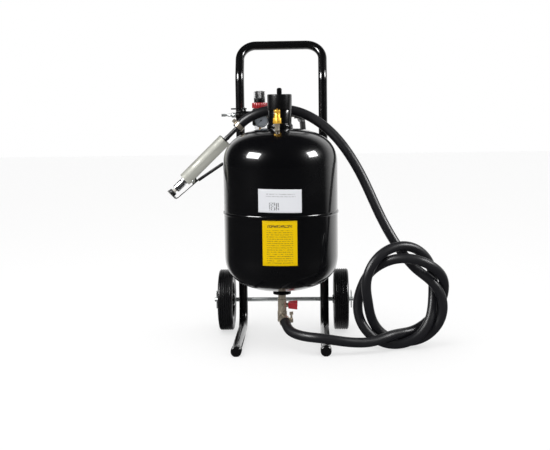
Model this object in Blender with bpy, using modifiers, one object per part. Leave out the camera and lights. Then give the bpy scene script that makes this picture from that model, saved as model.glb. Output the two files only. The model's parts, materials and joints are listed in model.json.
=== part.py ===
"""Portable pressure-pot abrasive blaster on a two-wheel trolley.

Units are metres and +Z is up. Sizes below are measured from the tank's vertical axis, with X to the
right, Y to the back and Z up from the floor. The whole assembly hangs from one empty, which moves
the middle of its footprint to the origin.
"""

import math

import bmesh
import bpy
from mathutils import Matrix, Vector

# ---- driving dimensions (metres) ----
GAP = 0.0003                # left between touching pieces
RUNNING = 0.00006           # radial clearance of a running fit
# tank
TANK_R = 0.153
TANK_BOTTOM_Z = 0.150
TANK_TOP_Z = 0.587
HEAD_H = 0.100              # height of each drawn end
HEAD_POWER = 2.5            # superellipse power of the drawn ends
TANK_WALL = 0.003
GIRTH_Z = 0.3625
BAND_H = 0.009
BAND_PROUD = 0.0025
LABEL_T = 0.0004
DATA_LABEL = (0.115, 0.061, 0.4055)         # width, height, middle z
CAUTION_LABEL = (0.091, 0.117, 0.2965)
# filler
NECK_R = 0.0315
NECK_BORE_R = 0.021
SPIGOT_R = 0.0255
NECK_SHOULDER_Z = 0.634
SPIGOT_TOP_Z = 0.660
CAP_R = 0.0327
CAP_TOP_Z = 0.676
SEAL_T = 0.003
LUG = (0.013, 0.046, 0.0165)
# trolley frame
TUBE_R = 0.0125
TUBE_WALL = 0.0015
TRACK = 0.234               # between the two legs' centre lines
FRAME_Y = 0.1705
FOOT_FRONT_Y = -0.155
FOOT_BEND_R = 0.055
HANDLE_KINK_Z = 0.727
HANDLE_KINK_R = 0.060
HANDLE_TOP_Z = 0.814
HANDLE_Y = 0.220
HANDLE_CORNER_R = 0.045
CAP_WALL = 0.00145          # foot cap
FOOT_CAP_L = 0.028
SOLE_CUT = 0.0006
BAR_Z = (0.235, 0.500)      # cross bars that carry the tank
BAR_H = 0.030
# axle and wheels
AXLE_R = 0.006
AXLE_HALF_L = 0.200
WHEEL_R = 0.0875
TYRE_W = 0.042
WHEEL_X = 0.1645
HUB_HALF_W = 0.022
HUB_R = 0.017
RIM_R = 0.056
GROOVE = 0.0022
WASHER_R = 0.012
WASHER_T = 0.002
PIN_R = 0.0015
PIN_X = 0.1945
PIN_REACH = 0.026
# outlet, below the tank
BOSS_R = 0.0245
BOSS_H = 0.009
NIPPLE_R = 0.0105
NIPPLE_BORE_R = 0.0065
VALVE_TOP_Z = 0.122
VALVE_L = 0.033
VALVE_R = 0.0125
TEE_Z = 0.077
TEE_R = 0.0130
TEE_BOTTOM_Z = 0.0605
HOSE_TAIL_YAW = 14.0        # degrees right of straight ahead
HOSE_TAIL_PITCH = 18.5      # degrees below level
BUTTERFLY_REACH = 0.028
BUTTERFLY_SPAN = 0.022
# air line behind the filler
LINE_Y = 0.100
LINE_Z = 0.620
LINE_PIPE_R = 0.0075
INLET_X = -0.1012           # middle of the inlet valve
INLET_L = 0.0454
INLET_R = 0.0115
PLUG_END_X = -0.164
REG_X = -0.058
REG_HALF = 0.020
REG_Z = (0.590, 0.638)
RING_R = 0.0212
RING_H = 0.0150
KNOB_R = 0.0155
KNOB_Z = (0.6538, 0.6855)
BOWL_R = 0.016
BOWL_H = 0.012
GAUGE_R = 0.0195
GAUGE_T = 0.017
GAUGE_X = -0.053
GAUGE_Z = 0.605
ELBOW_X = 0.047
BYPASS_R = 0.008
SAFETY_Y = -0.062
SAFETY_X = -0.005
SAFETY_Z = (0.600, 0.626)
# blast hose and gun
HOSE_R = 0.013
HOSE_POINTS = 76
GUN_END = (-0.1195, 0.050, 0.585)
GUN_TILT = 44.0             # degrees of the gun's axis below level
GRIP_X = (0.045, 0.199)
GRIP_R = 0.019
GRIP_WALL = 0.003
GRIP_SKIRT = 0.017          # how far the channel's sides reach towards the lever
PIPE_R = 0.006
HOLDER_R = 0.011
HOLDER_END_X = 0.236
NOZZLE_R = 0.0055
NOZZLE_END_X = 0.2445
PIVOT = (0.184, 0.0185)
LEVER_W = 0.020
LEVER_T = 0.0025
PAD_T = 0.008
COIL_WIRE_R = 0.0007

# The blast hose's middle line, from the gun to the mixing tee, in tank coordinates. The hose rises
# behind the filler, drops at the right, makes two turns standing on the floor, and runs over the
# right foot to the tee.
HOSE_ROUTE = [
    (-0.078, 0.043, 0.619), (-0.041, 0.042, 0.632), (0.003, 0.050, 0.637), (0.049, 0.047, 0.630),
    (0.091, 0.041, 0.610), (0.127, 0.035, 0.583), (0.158, 0.027, 0.551), (0.184, 0.018, 0.515),
    (0.207, 0.010, 0.477), (0.227, 0.001, 0.437), (0.245, -0.007, 0.396), (0.263, -0.013, 0.355),
    (0.283, -0.020, 0.315), (0.306, -0.026, 0.276), (0.331, -0.034, 0.240), (0.358, -0.049, 0.208),
    (0.398, -0.062, 0.183), (0.426, -0.061, 0.143), (0.432, -0.056, 0.095), (0.414, -0.050, 0.050),
    (0.377, -0.047, 0.019), (0.331, -0.045, 0.010), (0.287, -0.049, 0.021), (0.253, -0.056, 0.049),
    (0.235, -0.067, 0.088), (0.229, -0.091, 0.131), (0.220, -0.101, 0.178), (0.234, -0.100, 0.227),
    (0.267, -0.088, 0.263), (0.310, -0.071, 0.278), (0.352, -0.053, 0.271), (0.387, -0.036, 0.243),
    (0.406, -0.024, 0.201), (0.407, -0.025, 0.154), (0.404, -0.041, 0.111), (0.395, -0.060, 0.071),
    (0.369, -0.070, 0.034), (0.327, -0.076, 0.013), (0.279, -0.078, 0.012), (0.235, -0.075, 0.034),
    (0.207, -0.067, 0.073), (0.200, -0.056, 0.118), (0.212, -0.058, 0.164), (0.231, -0.062, 0.203),
    (0.263, -0.073, 0.229), (0.302, -0.089, 0.247), (0.348, -0.095, 0.246), (0.389, -0.090, 0.230),
    (0.421, -0.069, 0.204), (0.436, -0.043, 0.171), (0.434, -0.025, 0.129), (0.416, -0.020, 0.087),
    (0.385, -0.026, 0.055), (0.348, -0.043, 0.039), (0.313, -0.065, 0.040), (0.281, -0.099, 0.041),
    (0.241, -0.117, 0.028), (0.196, -0.130, 0.030), (0.153, -0.140, 0.037), (0.108, -0.142, 0.046),
    (0.066, -0.130, 0.046), (0.021, -0.086, 0.048),
]

# ---- sizes worked out from them ----
HEAD_TOP_Z = TANK_TOP_Z - HEAD_H
HEAD_LOW_Z = TANK_BOTTOM_Z + HEAD_H
HALF_TRACK = TRACK / 2
FOOT_CAP_R = TUBE_R + GAP + CAP_WALL
FOOT_Z = FOOT_CAP_R - SOLE_CUT
BOSS_TOP_Z = TANK_BOTTOM_Z - 0.004
BOSS_BOTTOM_Z = BOSS_TOP_Z - BOSS_H
VALVE_BOTTOM_Z = VALVE_TOP_Z - VALVE_L
VALVE_MID_Z = VALVE_TOP_Z - VALVE_L / 2

for old in list(bpy.data.objects):
    bpy.data.objects.remove(old, do_unlink=True)
PARTS = bpy.data.collections.new("pressure_pot_blaster")
CUTTERS = bpy.data.collections.new("cutters")
bpy.context.scene.collection.children.link(PARTS)
bpy.context.scene.collection.children.link(CUTTERS)


# ---- materials ----
def make_material(name, colour, roughness, metallic):
    material = bpy.data.materials.new(name)
    material.use_nodes = True
    shader = material.node_tree.nodes["Principled BSDF"]
    shader.inputs["Base Color"].default_value = (*colour, 1.0)
    shader.inputs["Roughness"].default_value = roughness
    shader.inputs["Metallic"].default_value = metallic
    return material


BLACK_PAINT = make_material("gloss_black_paint", (0.012, 0.012, 0.015), 0.18, 0.0)
TUBE_PAINT = make_material("frame_black_paint", (0.015, 0.015, 0.016), 0.28, 0.0)
BLACK_PLASTIC = make_material("black_plastic", (0.02, 0.02, 0.022), 0.45, 0.0)
RUBBER = make_material("black_rubber", (0.02, 0.02, 0.022), 0.55, 0.0)
ZINC = make_material("zinc_plate", (0.62, 0.62, 0.60), 0.35, 1.0)
NICKEL = make_material("nickel_plate", (0.60, 0.55, 0.48), 0.32, 1.0)
BRASS = make_material("yellow_brass", (0.95, 0.55, 0.12), 0.28, 1.0)
CAST_GREY = make_material("cast_grey", (0.50, 0.50, 0.45), 0.5, 0.4)
BRIGHT_ALUMINIUM = make_material("bright_aluminium", (0.78, 0.78, 0.80), 0.25, 1.0)
CERAMIC = make_material("ceramic_nozzle", (0.85, 0.82, 0.76), 0.5, 0.0)
RED_PLASTIC = make_material("red_plastic", (0.55, 0.02, 0.03), 0.35, 0.0)
WHITE_LABEL = make_material("white_label", (0.85, 0.85, 0.84), 0.5, 0.0)
YELLOW_LABEL = make_material("yellow_label", (1.0, 0.72, 0.0), 0.5, 0.0)
DIAL_WHITE = make_material("dial_white", (0.85, 0.87, 0.9), 0.6, 0.0)
CLEAR = make_material("clear_plastic", (0.85, 0.88, 0.9), 0.08, 0.0)


# ---- modelling tools ----
def empty_at(name, location, parent=None, turn=None):
    """An empty that carries pieces: the assembly's, the gun's, or a moving body's joint axis."""
    holder = bpy.data.objects.new(name, None)
    bpy.context.scene.collection.objects.link(holder)
    holder.location = location
    if turn is not None:
        holder.rotation_euler = turn.to_euler()
    holder.parent = parent
    return holder


ASSEMBLY = empty_at("assembly", (0, 0, 0))


def place(obj, material, parent=None, location=(0, 0, 0), turn=None):
    """Gives an object its material, collection, parent, place and smooth round faces."""
    for collection in list(obj.users_collection):
        collection.objects.unlink(obj)
    PARTS.objects.link(obj)
    obj.parent = parent or ASSEMBLY
    obj.location = location
    if turn is not None:
        obj.rotation_euler = turn.to_euler()
    obj.data.materials.clear()
    obj.data.materials.append(material)
    if obj.type == "MESH":
        obj.data.shade_smooth()
        obj.data.set_sharp_from_angle(angle=math.radians(35))
    return obj


def turn_to(direction):
    """The turn that takes the local Z axis to a direction."""
    return Vector(direction).to_track_quat("Z", "Y").to_matrix()


ALONG_X = Matrix.Rotation(math.radians(90), 3, "Y")
ALONG_MINUS_Y = Matrix.Rotation(math.radians(90), 3, "X")


def new_mesh(name, bm):
    mesh = bpy.data.meshes.new(name)
    bm.to_mesh(mesh)
    bm.free()
    obj = bpy.data.objects.new(name, mesh)
    PARTS.objects.link(obj)
    return obj


def turned(name, profile, steps=24, closed=False, sweep=360.0):
    """A profile of (radius, height) points turned about local Z. It runs down its outer side. A
    closed profile makes a ring or a hollow shell, and an open one starts and ends on the axis."""
    mesh = bpy.data.meshes.new(name)
    points = [(radius, 0.0, height) for radius, height in profile]
    edges = [(index, index + 1) for index in range(len(points) - 1)]
    if closed:
        edges.append((len(points) - 1, 0))
    mesh.from_pydata(points, edges, [])
    obj = bpy.data.objects.new(name, mesh)
    PARTS.objects.link(obj)
    screw = obj.modifiers.new("turn", "SCREW")
    screw.angle = math.radians(sweep)
    screw.steps = steps
    screw.render_steps = steps
    screw.use_merge_vertices = True
    screw.merge_threshold = 0.00001
    return bake(obj)


def bake(obj):
    """Replaces an object by the mesh that its modifiers make."""
    bpy.context.view_layer.update()
    graph = bpy.context.evaluated_depsgraph_get()
    mesh = bpy.data.meshes.new_from_object(obj.evaluated_get(graph))
    mesh.name = obj.name
    name = obj.name
    matrix = obj.matrix_world.copy()
    bpy.data.objects.remove(obj, do_unlink=True)
    solid = bpy.data.objects.new(name, mesh)
    PARTS.objects.link(solid)
    solid.matrix_world = matrix
    bm = bmesh.new()
    bm.from_mesh(mesh)
    bmesh.ops.remove_doubles(bm, verts=bm.verts, dist=0.00001)
    bm.to_mesh(mesh)
    bm.free()
    return solid


def rod(name, radius, length, sides=16, top_radius=None):
    """A cylinder or cone standing on local Z, from 0 to its length."""
    bm = bmesh.new()
    top = radius if top_radius is None else top_radius
    bmesh.ops.create_cone(bm, cap_ends=True, segments=sides, radius1=radius, radius2=top, depth=length)
    bmesh.ops.translate(bm, verts=bm.verts, vec=(0, 0, length / 2))
    return new_mesh(name, bm)


def block(name, size, bevel=0.0):
    """A box about its own middle, with its edges bevelled."""
    bm = bmesh.new()
    bmesh.ops.create_cube(bm, size=1.0)
    bmesh.ops.scale(bm, vec=size, verts=bm.verts)
    obj = new_mesh(name, bm)
    if bevel:
        rounding = obj.modifiers.new("edges", "BEVEL")
        rounding.width = bevel
        rounding.segments = 1
        obj = bake(obj)
    return obj


def tube(name, points, radius, resolution=2, caps=True):
    """A round bar along points, as a bevelled poly curve made a welded mesh."""
    curve = bpy.data.curves.new(name, "CURVE")
    curve.dimensions = "3D"
    curve.bevel_depth = radius
    curve.bevel_resolution = resolution
    curve.use_fill_caps = caps
    spline = curve.splines.new("POLY")
    spline.points.add(len(points) - 1)
    for point, place_at in zip(spline.points, points):
        point.co = (*place_at, 1.0)
    obj = bpy.data.objects.new(name, curve)
    PARTS.objects.link(obj)
    return bake(obj)


def outline(name, points, thickness):
    """A flat outline in local XY, thickened evenly to both sides along local Z."""
    curve = bpy.data.curves.new(name, "CURVE")
    curve.dimensions = "2D"
    curve.fill_mode = "BOTH"
    curve.extrude = thickness / 2
    spline = curve.splines.new("POLY")
    spline.points.add(len(points) - 1)
    for point, (across, up) in zip(spline.points, points):
        point.co = (across, up, 0.0, 1.0)
    spline.use_cyclic_u = True
    obj = bpy.data.objects.new(name, curve)
    PARTS.objects.link(obj)
    return bake(obj)


def moved(obj, location=(0, 0, 0), turn=None):
    """Moves an object's mesh itself, before it is cut, joined or placed."""
    matrix = Matrix.Translation(location)
    if turn is not None:
        matrix = matrix @ turn.to_4x4()
    obj.data.transform(matrix)
    return obj


def boolean(obj, operation, tools):
    """Joins tools to an object or cuts them from it, and keeps them as wire cutters."""
    for tool in tools:
        for collection in list(tool.users_collection):
            collection.objects.unlink(tool)
        CUTTERS.objects.link(tool)
        tool.name = "cutter_" + tool.name
        tool.hide_render = True
        tool.display_type = "WIRE"
        step = obj.modifiers.new(operation.lower(), "BOOLEAN")
        step.operation = operation
        step.solver = "EXACT"
        step.object = tool
        obj = bake(obj)
    return obj


def joined(obj, *tools):
    return boolean(obj, "UNION", tools)


def cut(obj, *tools):
    return boolean(obj, "DIFFERENCE", tools)


def arc(centre, radius, start, end, count):
    """Points on an arc in a plane, from one angle to another in degrees."""
    angles = [math.radians(start + (end - start) * index / count) for index in range(count + 1)]
    return [(centre[0] + radius * math.cos(a), centre[1] + radius * math.sin(a)) for a in angles]


def rounded_path(corners, radii, count=4):
    """A path of straight runs whose inner corners become arcs of the given radii."""
    path = [Vector(corners[0])]
    for index, radius in enumerate(radii, start=1):
        corner = Vector(corners[index])
        before = (Vector(corners[index - 1]) - corner).normalized()
        after = (Vector(corners[index + 1]) - corner).normalized()
        half = before.angle(after) / 2
        centre = corner + (before + after).normalized() * radius / math.sin(half)
        start = corner + before * radius / math.tan(half) - centre
        axis = start.cross(corner - centre).normalized()
        sweep = math.pi - 2 * half
        path += [centre + Matrix.Rotation(sweep * k / count, 3, axis) @ start for k in range(count + 1)]
    return path + [Vector(corners[-1])]


def spline_path(points, count):
    """Evenly stepped points of the uniform cubic B-spline that starts and ends at the end points."""
    knots = [Vector(p) for p in points]
    knots = [2 * knots[0] - knots[1]] + knots + [2 * knots[-1] - knots[-2]]
    spans = len(knots) - 3
    path = []
    for index in range(count):
        place_at = spans * index / (count - 1)
        span = min(int(place_at), spans - 1)
        t = place_at - span
        weights = ((1 - t) ** 3, 3 * t ** 3 - 6 * t * t + 4, -3 * t ** 3 + 3 * t * t + 3 * t + 1, t ** 3)
        path.append(sum((knots[span + k] * w / 6 for k, w in enumerate(weights)), Vector()))
    return path


def head_height(radius, inset=0.0):
    """How far a drawn end's surface stands above its rim at a radius, for a wall drawn in by inset."""
    share = min(radius / (TANK_R - inset), 1.0)
    return (HEAD_H - inset) * (1 - share ** HEAD_POWER) ** (1 / HEAD_POWER)


def head_profile(hole_r, inset, count=7):
    """Radius and rise of a drawn end, from its hole out to its rim. Steps even in angle."""
    start = math.acos(min(1.0, (hole_r / (TANK_R - inset)) ** (HEAD_POWER / 2)))
    points = []
    for index in range(count + 1):
        angle = start * (1 - index / count)
        radius = (TANK_R - inset) * math.cos(angle) ** (2 / HEAD_POWER)
        points.append((radius, head_height(radius, inset)))
    return points


# ---- tank: two drawn steel shells and the weld band that covers their joint ----
def tank_shells():
    top_hole = NECK_BORE_R + 0.004
    low_hole = 0.0135
    rise = [(r, HEAD_TOP_Z + h) for r, h in head_profile(top_hole, 0.0)]
    inner = [(r, HEAD_TOP_Z + h) for r, h in reversed(head_profile(top_hole, TANK_WALL, 4))]
    joint = GIRTH_Z + GAP / 2
    upper = rise + [(TANK_R, joint), (TANK_R - TANK_WALL, joint)] + inner
    place(turned("tank_upper_shell", upper, 40, closed=True), BLACK_PAINT)
    fall = [(r, HEAD_LOW_Z - h) for r, h in reversed(head_profile(low_hole, 0.0))]
    inner = [(r, HEAD_LOW_Z - h) for r, h in head_profile(low_hole, TANK_WALL, 4)]
    joint = GIRTH_Z - GAP / 2
    lower = [(TANK_R, joint)] + fall + inner + [(TANK_R - TANK_WALL, joint)]
    place(turned("tank_lower_shell", lower, 40, closed=True), BLACK_PAINT)
    inside = TANK_R + GAP
    outside = TANK_R + BAND_PROUD
    half = BAND_H / 2
    bead = [(inside, half), (outside - 0.001, half), (outside, half - 0.002), (outside, 0.002 - half)]
    bead += [(outside - 0.001, -half), (inside, -half)]
    place(turned("girth_band", bead, 40, closed=True), BLACK_PAINT, location=(0, 0, GIRTH_Z))


def label(name, size, material):
    """A printed sheet wrapped on the front of the tank's wall."""
    width, height, middle_z = size
    inner = TANK_R + GAP
    sweep = math.degrees(width / TANK_R)
    sheet = turned(name, [(inner, height / 2), (inner, -height / 2)], 8, sweep=sweep)
    thicken = sheet.modifiers.new("thickness", "SOLIDIFY")
    thicken.thickness = LABEL_T
    thicken.offset = 1.0
    sheet = bake(sheet)
    moved(sheet, turn=Matrix.Rotation(math.radians(-90 - sweep / 2), 3, "Z"))
    place(sheet, material, location=(0, 0, middle_z))


def head_cutter(name):
    """The top end's outer shape, one gap larger, which trims what stands on the tank."""
    points = [(0.0, HEAD_TOP_Z + head_height(0) + GAP)]
    points += [(r + GAP, HEAD_TOP_Z + h + GAP) for r, h in head_profile(0.02, 0.0, 14)]
    points += [(TANK_R + GAP, GIRTH_Z), (0.0, GIRTH_Z)]
    return turned(name, points, 40)


# ---- filler: neck, seal and screw-on cap ----
def filler():
    foot_z = TANK_TOP_Z - 0.012
    profile = [(SPIGOT_R, SPIGOT_TOP_Z), (SPIGOT_R, NECK_SHOULDER_Z), (NECK_R, NECK_SHOULDER_Z)]
    profile += [(NECK_R, TANK_TOP_Z + 0.010), (NECK_R + 0.0035, TANK_TOP_Z + 0.006)]
    profile += [(NECK_R + 0.0035, foot_z), (NECK_BORE_R, foot_z), (NECK_BORE_R, SPIGOT_TOP_Z)]
    neck = turned("filler_neck", profile, 28, closed=True)
    place(cut(neck, head_cutter("head_under_neck")), BLACK_PLASTIC)
    seal_z = SPIGOT_TOP_Z + GAP
    ring = [(SPIGOT_R - GAP, seal_z + SEAL_T), (SPIGOT_R - GAP, seal_z), (NECK_BORE_R, seal_z)]
    ring += [(NECK_BORE_R, seal_z + SEAL_T)]
    place(turned("cap_seal", ring, 24, closed=True), RUBBER)
    roof_z = seal_z + SEAL_T + GAP
    skirt_z = NECK_SHOULDER_Z + GAP
    bore = SPIGOT_R + GAP
    cup = [(0, CAP_TOP_Z), (CAP_R - 0.002, CAP_TOP_Z), (CAP_R, CAP_TOP_Z - 0.002), (CAP_R, skirt_z)]
    cup += [(bore, skirt_z), (bore, roof_z), (0, roof_z)]
    cap = turned("filler_cap", cup, 28)
    lug = block("cap_lug", (LUG[0], LUG[1], LUG[2] + 0.002), 0.003)
    moved(lug, (0, 0, CAP_TOP_Z + LUG[2] / 2 - 0.001))
    place(joined(cap, lug), BLACK_PLASTIC)


# ---- safety valve on the front of the dome ----
def safety_valve():
    low, high = SAFETY_Z
    foot = rod("safety_foot", 0.0068, 0.040, 16)
    moved(foot, (0, 0, low - 0.039))
    body = rod("safety_valve_body", 0.0122, high - low - 0.012, 6)
    moved(body, (0, 0, low))
    bonnet = moved(rod("safety_bonnet", 0.0082, 0.0125, 16), (0, 0, high - 0.0125))
    body = joined(body, foot, bonnet)
    well = moved(rod("safety_bore", 0.0030 + RUNNING, 0.020, 16), (0, 0, high - 0.015))
    body = cut(body, well)
    moved(body, (SAFETY_X, SAFETY_Y, 0))
    place(cut(body, head_cutter("head_under_safety")), BRASS)
    stem = rod("safety_valve_stem", 0.0030, 0.0165, 16)
    button = moved(rod("safety_button", 0.0082, 0.0080, 20), (0, 0, 0.0153))
    pull = tube("safety_pull", [(0.0, *p) for p in arc((0.0125, 0.0206), 0.0060, -165, 165, 11)], 0.0008, 1)
    stem = joined(stem, button, pull)
    place(stem, BRASS, location=(SAFETY_X, SAFETY_Y, high - 0.0145))


# ---- trolley frame ----
def foot_bar(side):
    return [(side * HALF_TRACK, FOOT_FRONT_Y + 0.002, FOOT_Z), (side * HALF_TRACK, FRAME_Y, FOOT_Z)]


def frame():
    left, right = foot_bar(-1), foot_bar(1)
    half = HALF_TRACK
    corners = [*left, (-half, FRAME_Y, HANDLE_KINK_Z), (-half, HANDLE_Y, HANDLE_TOP_Z)]
    corners += [(half, HANDLE_Y, HANDLE_TOP_Z), (half, FRAME_Y, HANDLE_KINK_Z), *reversed(right)]
    radii = [FOOT_BEND_R, HANDLE_KINK_R, HANDLE_CORNER_R, HANDLE_CORNER_R, HANDLE_KINK_R, FOOT_BEND_R]
    bar = tube("frame_tube", rounded_path(corners, radii), TUBE_R, 2, caps=False)
    wall = bar.modifiers.new("wall", "SOLIDIFY")
    wall.thickness = TUBE_WALL
    wall.offset = -1.0
    bar = bake(bar)
    drill = rod("frame_axle_hole", AXLE_R + GAP, 2 * AXLE_HALF_L, 16)
    moved(drill, (-AXLE_HALF_L, FRAME_Y, WHEEL_R), ALONG_X)
    place(cut(bar, drill), TUBE_PAINT)


def foot_cap(name, side):
    inner = TUBE_R + GAP
    profile = [(0, 0), (FOOT_CAP_R - 0.002, 0), (FOOT_CAP_R, -0.002), (FOOT_CAP_R, -FOOT_CAP_L)]
    profile += [(inner, -FOOT_CAP_L), (inner, -0.0017), (0, -0.0017)]
    cap = moved(turned(name, profile, 24), turn=ALONG_MINUS_Y)
    sole = moved(block(name + "_sole", (0.04, 0.08, 0.01)), (0, 0, -FOOT_Z - 0.005))
    cap = cut(cap, sole)
    place(cap, BLACK_PLASTIC, location=(side * HALF_TRACK, FOOT_FRONT_Y, FOOT_Z))


def cross_bars():
    """Flat bars welded across the legs. They touch the back of the tank and carry it."""
    face_y = TANK_R + GAP
    thickness = FRAME_Y - TUBE_R - GAP - face_y
    for name, z in zip(("lower_cross_bar", "upper_cross_bar"), BAR_Z):
        bar = block(name, (TRACK + 2 * TUBE_R, thickness, BAR_H), 0.0008)
        place(bar, BLACK_PAINT, location=(0, face_y + thickness / 2, z))


# ---- axle, wheels and what keeps them on ----
def axle():
    bar = rod("axle", AXLE_R, 2 * AXLE_HALF_L, 32)
    moved(bar, (-AXLE_HALF_L, FRAME_Y, WHEEL_R), ALONG_X)
    holes = []
    for side in (-1, 1):
        drill = rod(f"axle_pin_hole_{side}", PIN_R + GAP, 4 * AXLE_R, 12)
        holes.append(moved(drill, (side * PIN_X, FRAME_Y, WHEEL_R - 2 * AXLE_R)))
    place(cut(bar, *holes), ZINC)


def axle_washers():
    """A washer on each side of each wheel."""
    bore = AXLE_R + GAP
    profile = [(WASHER_R, WASHER_T / 2), (WASHER_R, -WASHER_T / 2), (bore, -WASHER_T / 2), (bore,
        WASHER_T / 2)]
    for hand, side in (("left", -1), ("right", 1)):
        for where, step in (("inner", -1), ("outer", 1)):
            ring = moved(turned(f"{hand}_{where}_washer", profile, 20, closed=True), turn=ALONG_X)
            x = side * (WHEEL_X + step * (HUB_HALF_W + GAP + WASHER_T / 2))
            place(ring, ZINC, location=(x, FRAME_Y, WHEEL_R))


def hairpin(name, side):
    """A spring clip: one straight leg through the axle and one waved leg round it."""
    reach = PIN_REACH
    clear = AXLE_R + PIN_R + GAP
    straight = [(0.0, -reach), (0.0, reach * 0.75)]
    loop = arc((0.0045, reach * 0.75), 0.0045, 180, 0, 5)[1:]
    waved = [(clear + 0.002, 0.013), (clear + 0.0035, 0.008), (clear + 0.0035, -0.003), (clear, -0.010)]
    waved += [(clear - 0.002, -0.014), (clear, -0.020)]
    path = [(0.0, across, up) for across, up in straight + loop + waved]
    wire = tube(name, path, PIN_R, 1)
    place(wire, ZINC, location=(side * PIN_X, FRAME_Y, WHEEL_R))


def wheel(prefix, side):
    """A ribbed solid tyre on a moulded rim, turned about the axle."""
    spin = empty_at(prefix + "_wheel_axis", (side * WHEEL_X, FRAME_Y, WHEEL_R), ASSEMBLY)
    half = TYRE_W / 2
    r = WHEEL_R
    tyre = [(RIM_R + GAP, half - 0.003), (r - 0.010, half), (r - 0.003, half - 0.002), (r, half - 0.006)]
    for middle in (0.0065, -0.0065):
        tyre += [(r, middle + 0.0018), (r - GROOVE, middle), (r, middle - 0.0018)]
    tyre += [(r, 0.006 - half), (r - 0.003, 0.002 - half), (r - 0.010, -half), (RIM_R + GAP, 0.003 - half)]
    place(moved(turned(prefix + "_tyre", tyre, 28, closed=True), turn=ALONG_X), RUBBER, spin)
    bore = AXLE_R + RUNNING
    hub = HUB_HALF_W
    lip = half - 0.002
    rim = [(bore, hub), (HUB_R - 0.003, hub), (HUB_R, hub - 0.004), (HUB_R + 0.002, 0.005)]
    rim += [(RIM_R - 0.006, 0.004), (RIM_R - 0.004, lip), (RIM_R, lip), (RIM_R, -lip),
        (RIM_R - 0.004, -lip)]
    rim += [(RIM_R - 0.006, -0.004), (HUB_R + 0.002, -0.005), (HUB_R, 0.004 - hub), (HUB_R - 0.003, -hub)]
    rim += [(bore, -hub)]
    place(moved(turned(prefix + "_rim", rim, 28, closed=True), turn=ALONG_X), BLACK_PLASTIC, spin)


# ---- valves: one recipe serves the outlet valve and the smaller inlet valve ----
def valve_body(name, length, radius, bore, ball_r, stem_r):
    """A turned body with hexagon ends and a round middle. Flow runs along local Z, and the stem
    leaves along local X."""
    half = length / 2
    cavity = ball_r + GAP
    middle = [(bore, half), (radius * 0.94, half), (radius * 0.94, -half), (bore, -half)]
    step = math.sqrt(max(cavity ** 2 - bore ** 2, 0.0))
    middle += [(bore, -step), (cavity * 0.9, -cavity * 0.55), (cavity * 1.03, 0), (cavity * 0.9,
        cavity * 0.55)]
    middle += [(bore, step)]
    body = turned(name, middle, 24, closed=True)
    ends = []
    for low in (half - 0.010, -half):
        nut = rod(name + "_hex", radius, 0.010, 6)
        moved(nut, (0, 0, low))
        hole = moved(rod(name + "_hex_bore", radius * 0.9, 0.014, 24), (0, 0, low - 0.002))
        ends.append(cut(nut, hole))
    body = joined(body, *ends)
    neck = moved(rod(name + "_neck", stem_r + 0.003, radius * 0.5, 16), (radius * 0.8, 0, 0), ALONG_X)
    body = joined(body, neck)
    drill = moved(rod(name + "_stem_hole", stem_r + RUNNING, radius * 2, 24), (cavity * 0.6, 0, 0), ALONG_X)
    return cut(body, drill)


def valve_ball(name, ball_r, bore, stem_r, stem_end):
    """The ball with its through hole, and its stem along local X. The hole runs along local Z."""
    bm = bmesh.new()
    bmesh.ops.create_uvsphere(bm, u_segments=16, v_segments=10, radius=ball_r)
    ball = new_mesh(name, bm)
    stem = moved(rod(name + "_stem", stem_r, stem_end, 24), (0, 0, 0), ALONG_X)
    ball = joined(ball, stem)
    drill = moved(rod(name + "_bore", bore * 0.8, 4 * ball_r, 12), (0, 0, -2 * ball_r))
    return cut(ball, drill)


def strip_outline(points, thickness):
    """A bent strip's closed outline: its middle line offset to both sides."""
    left, right = [], []
    for index, point in enumerate(points):
        here = Vector(point)
        before = Vector(points[max(index - 1, 0)])
        after = Vector(points[min(index + 1, len(points) - 1)])
        along = (after - before).normalized()
        normal = Vector((-along.y, along.x)) * thickness / 2
        left.append(here + normal)
        right.append(here - normal)
    return [tuple(p) for p in left + right[::-1]]


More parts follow.
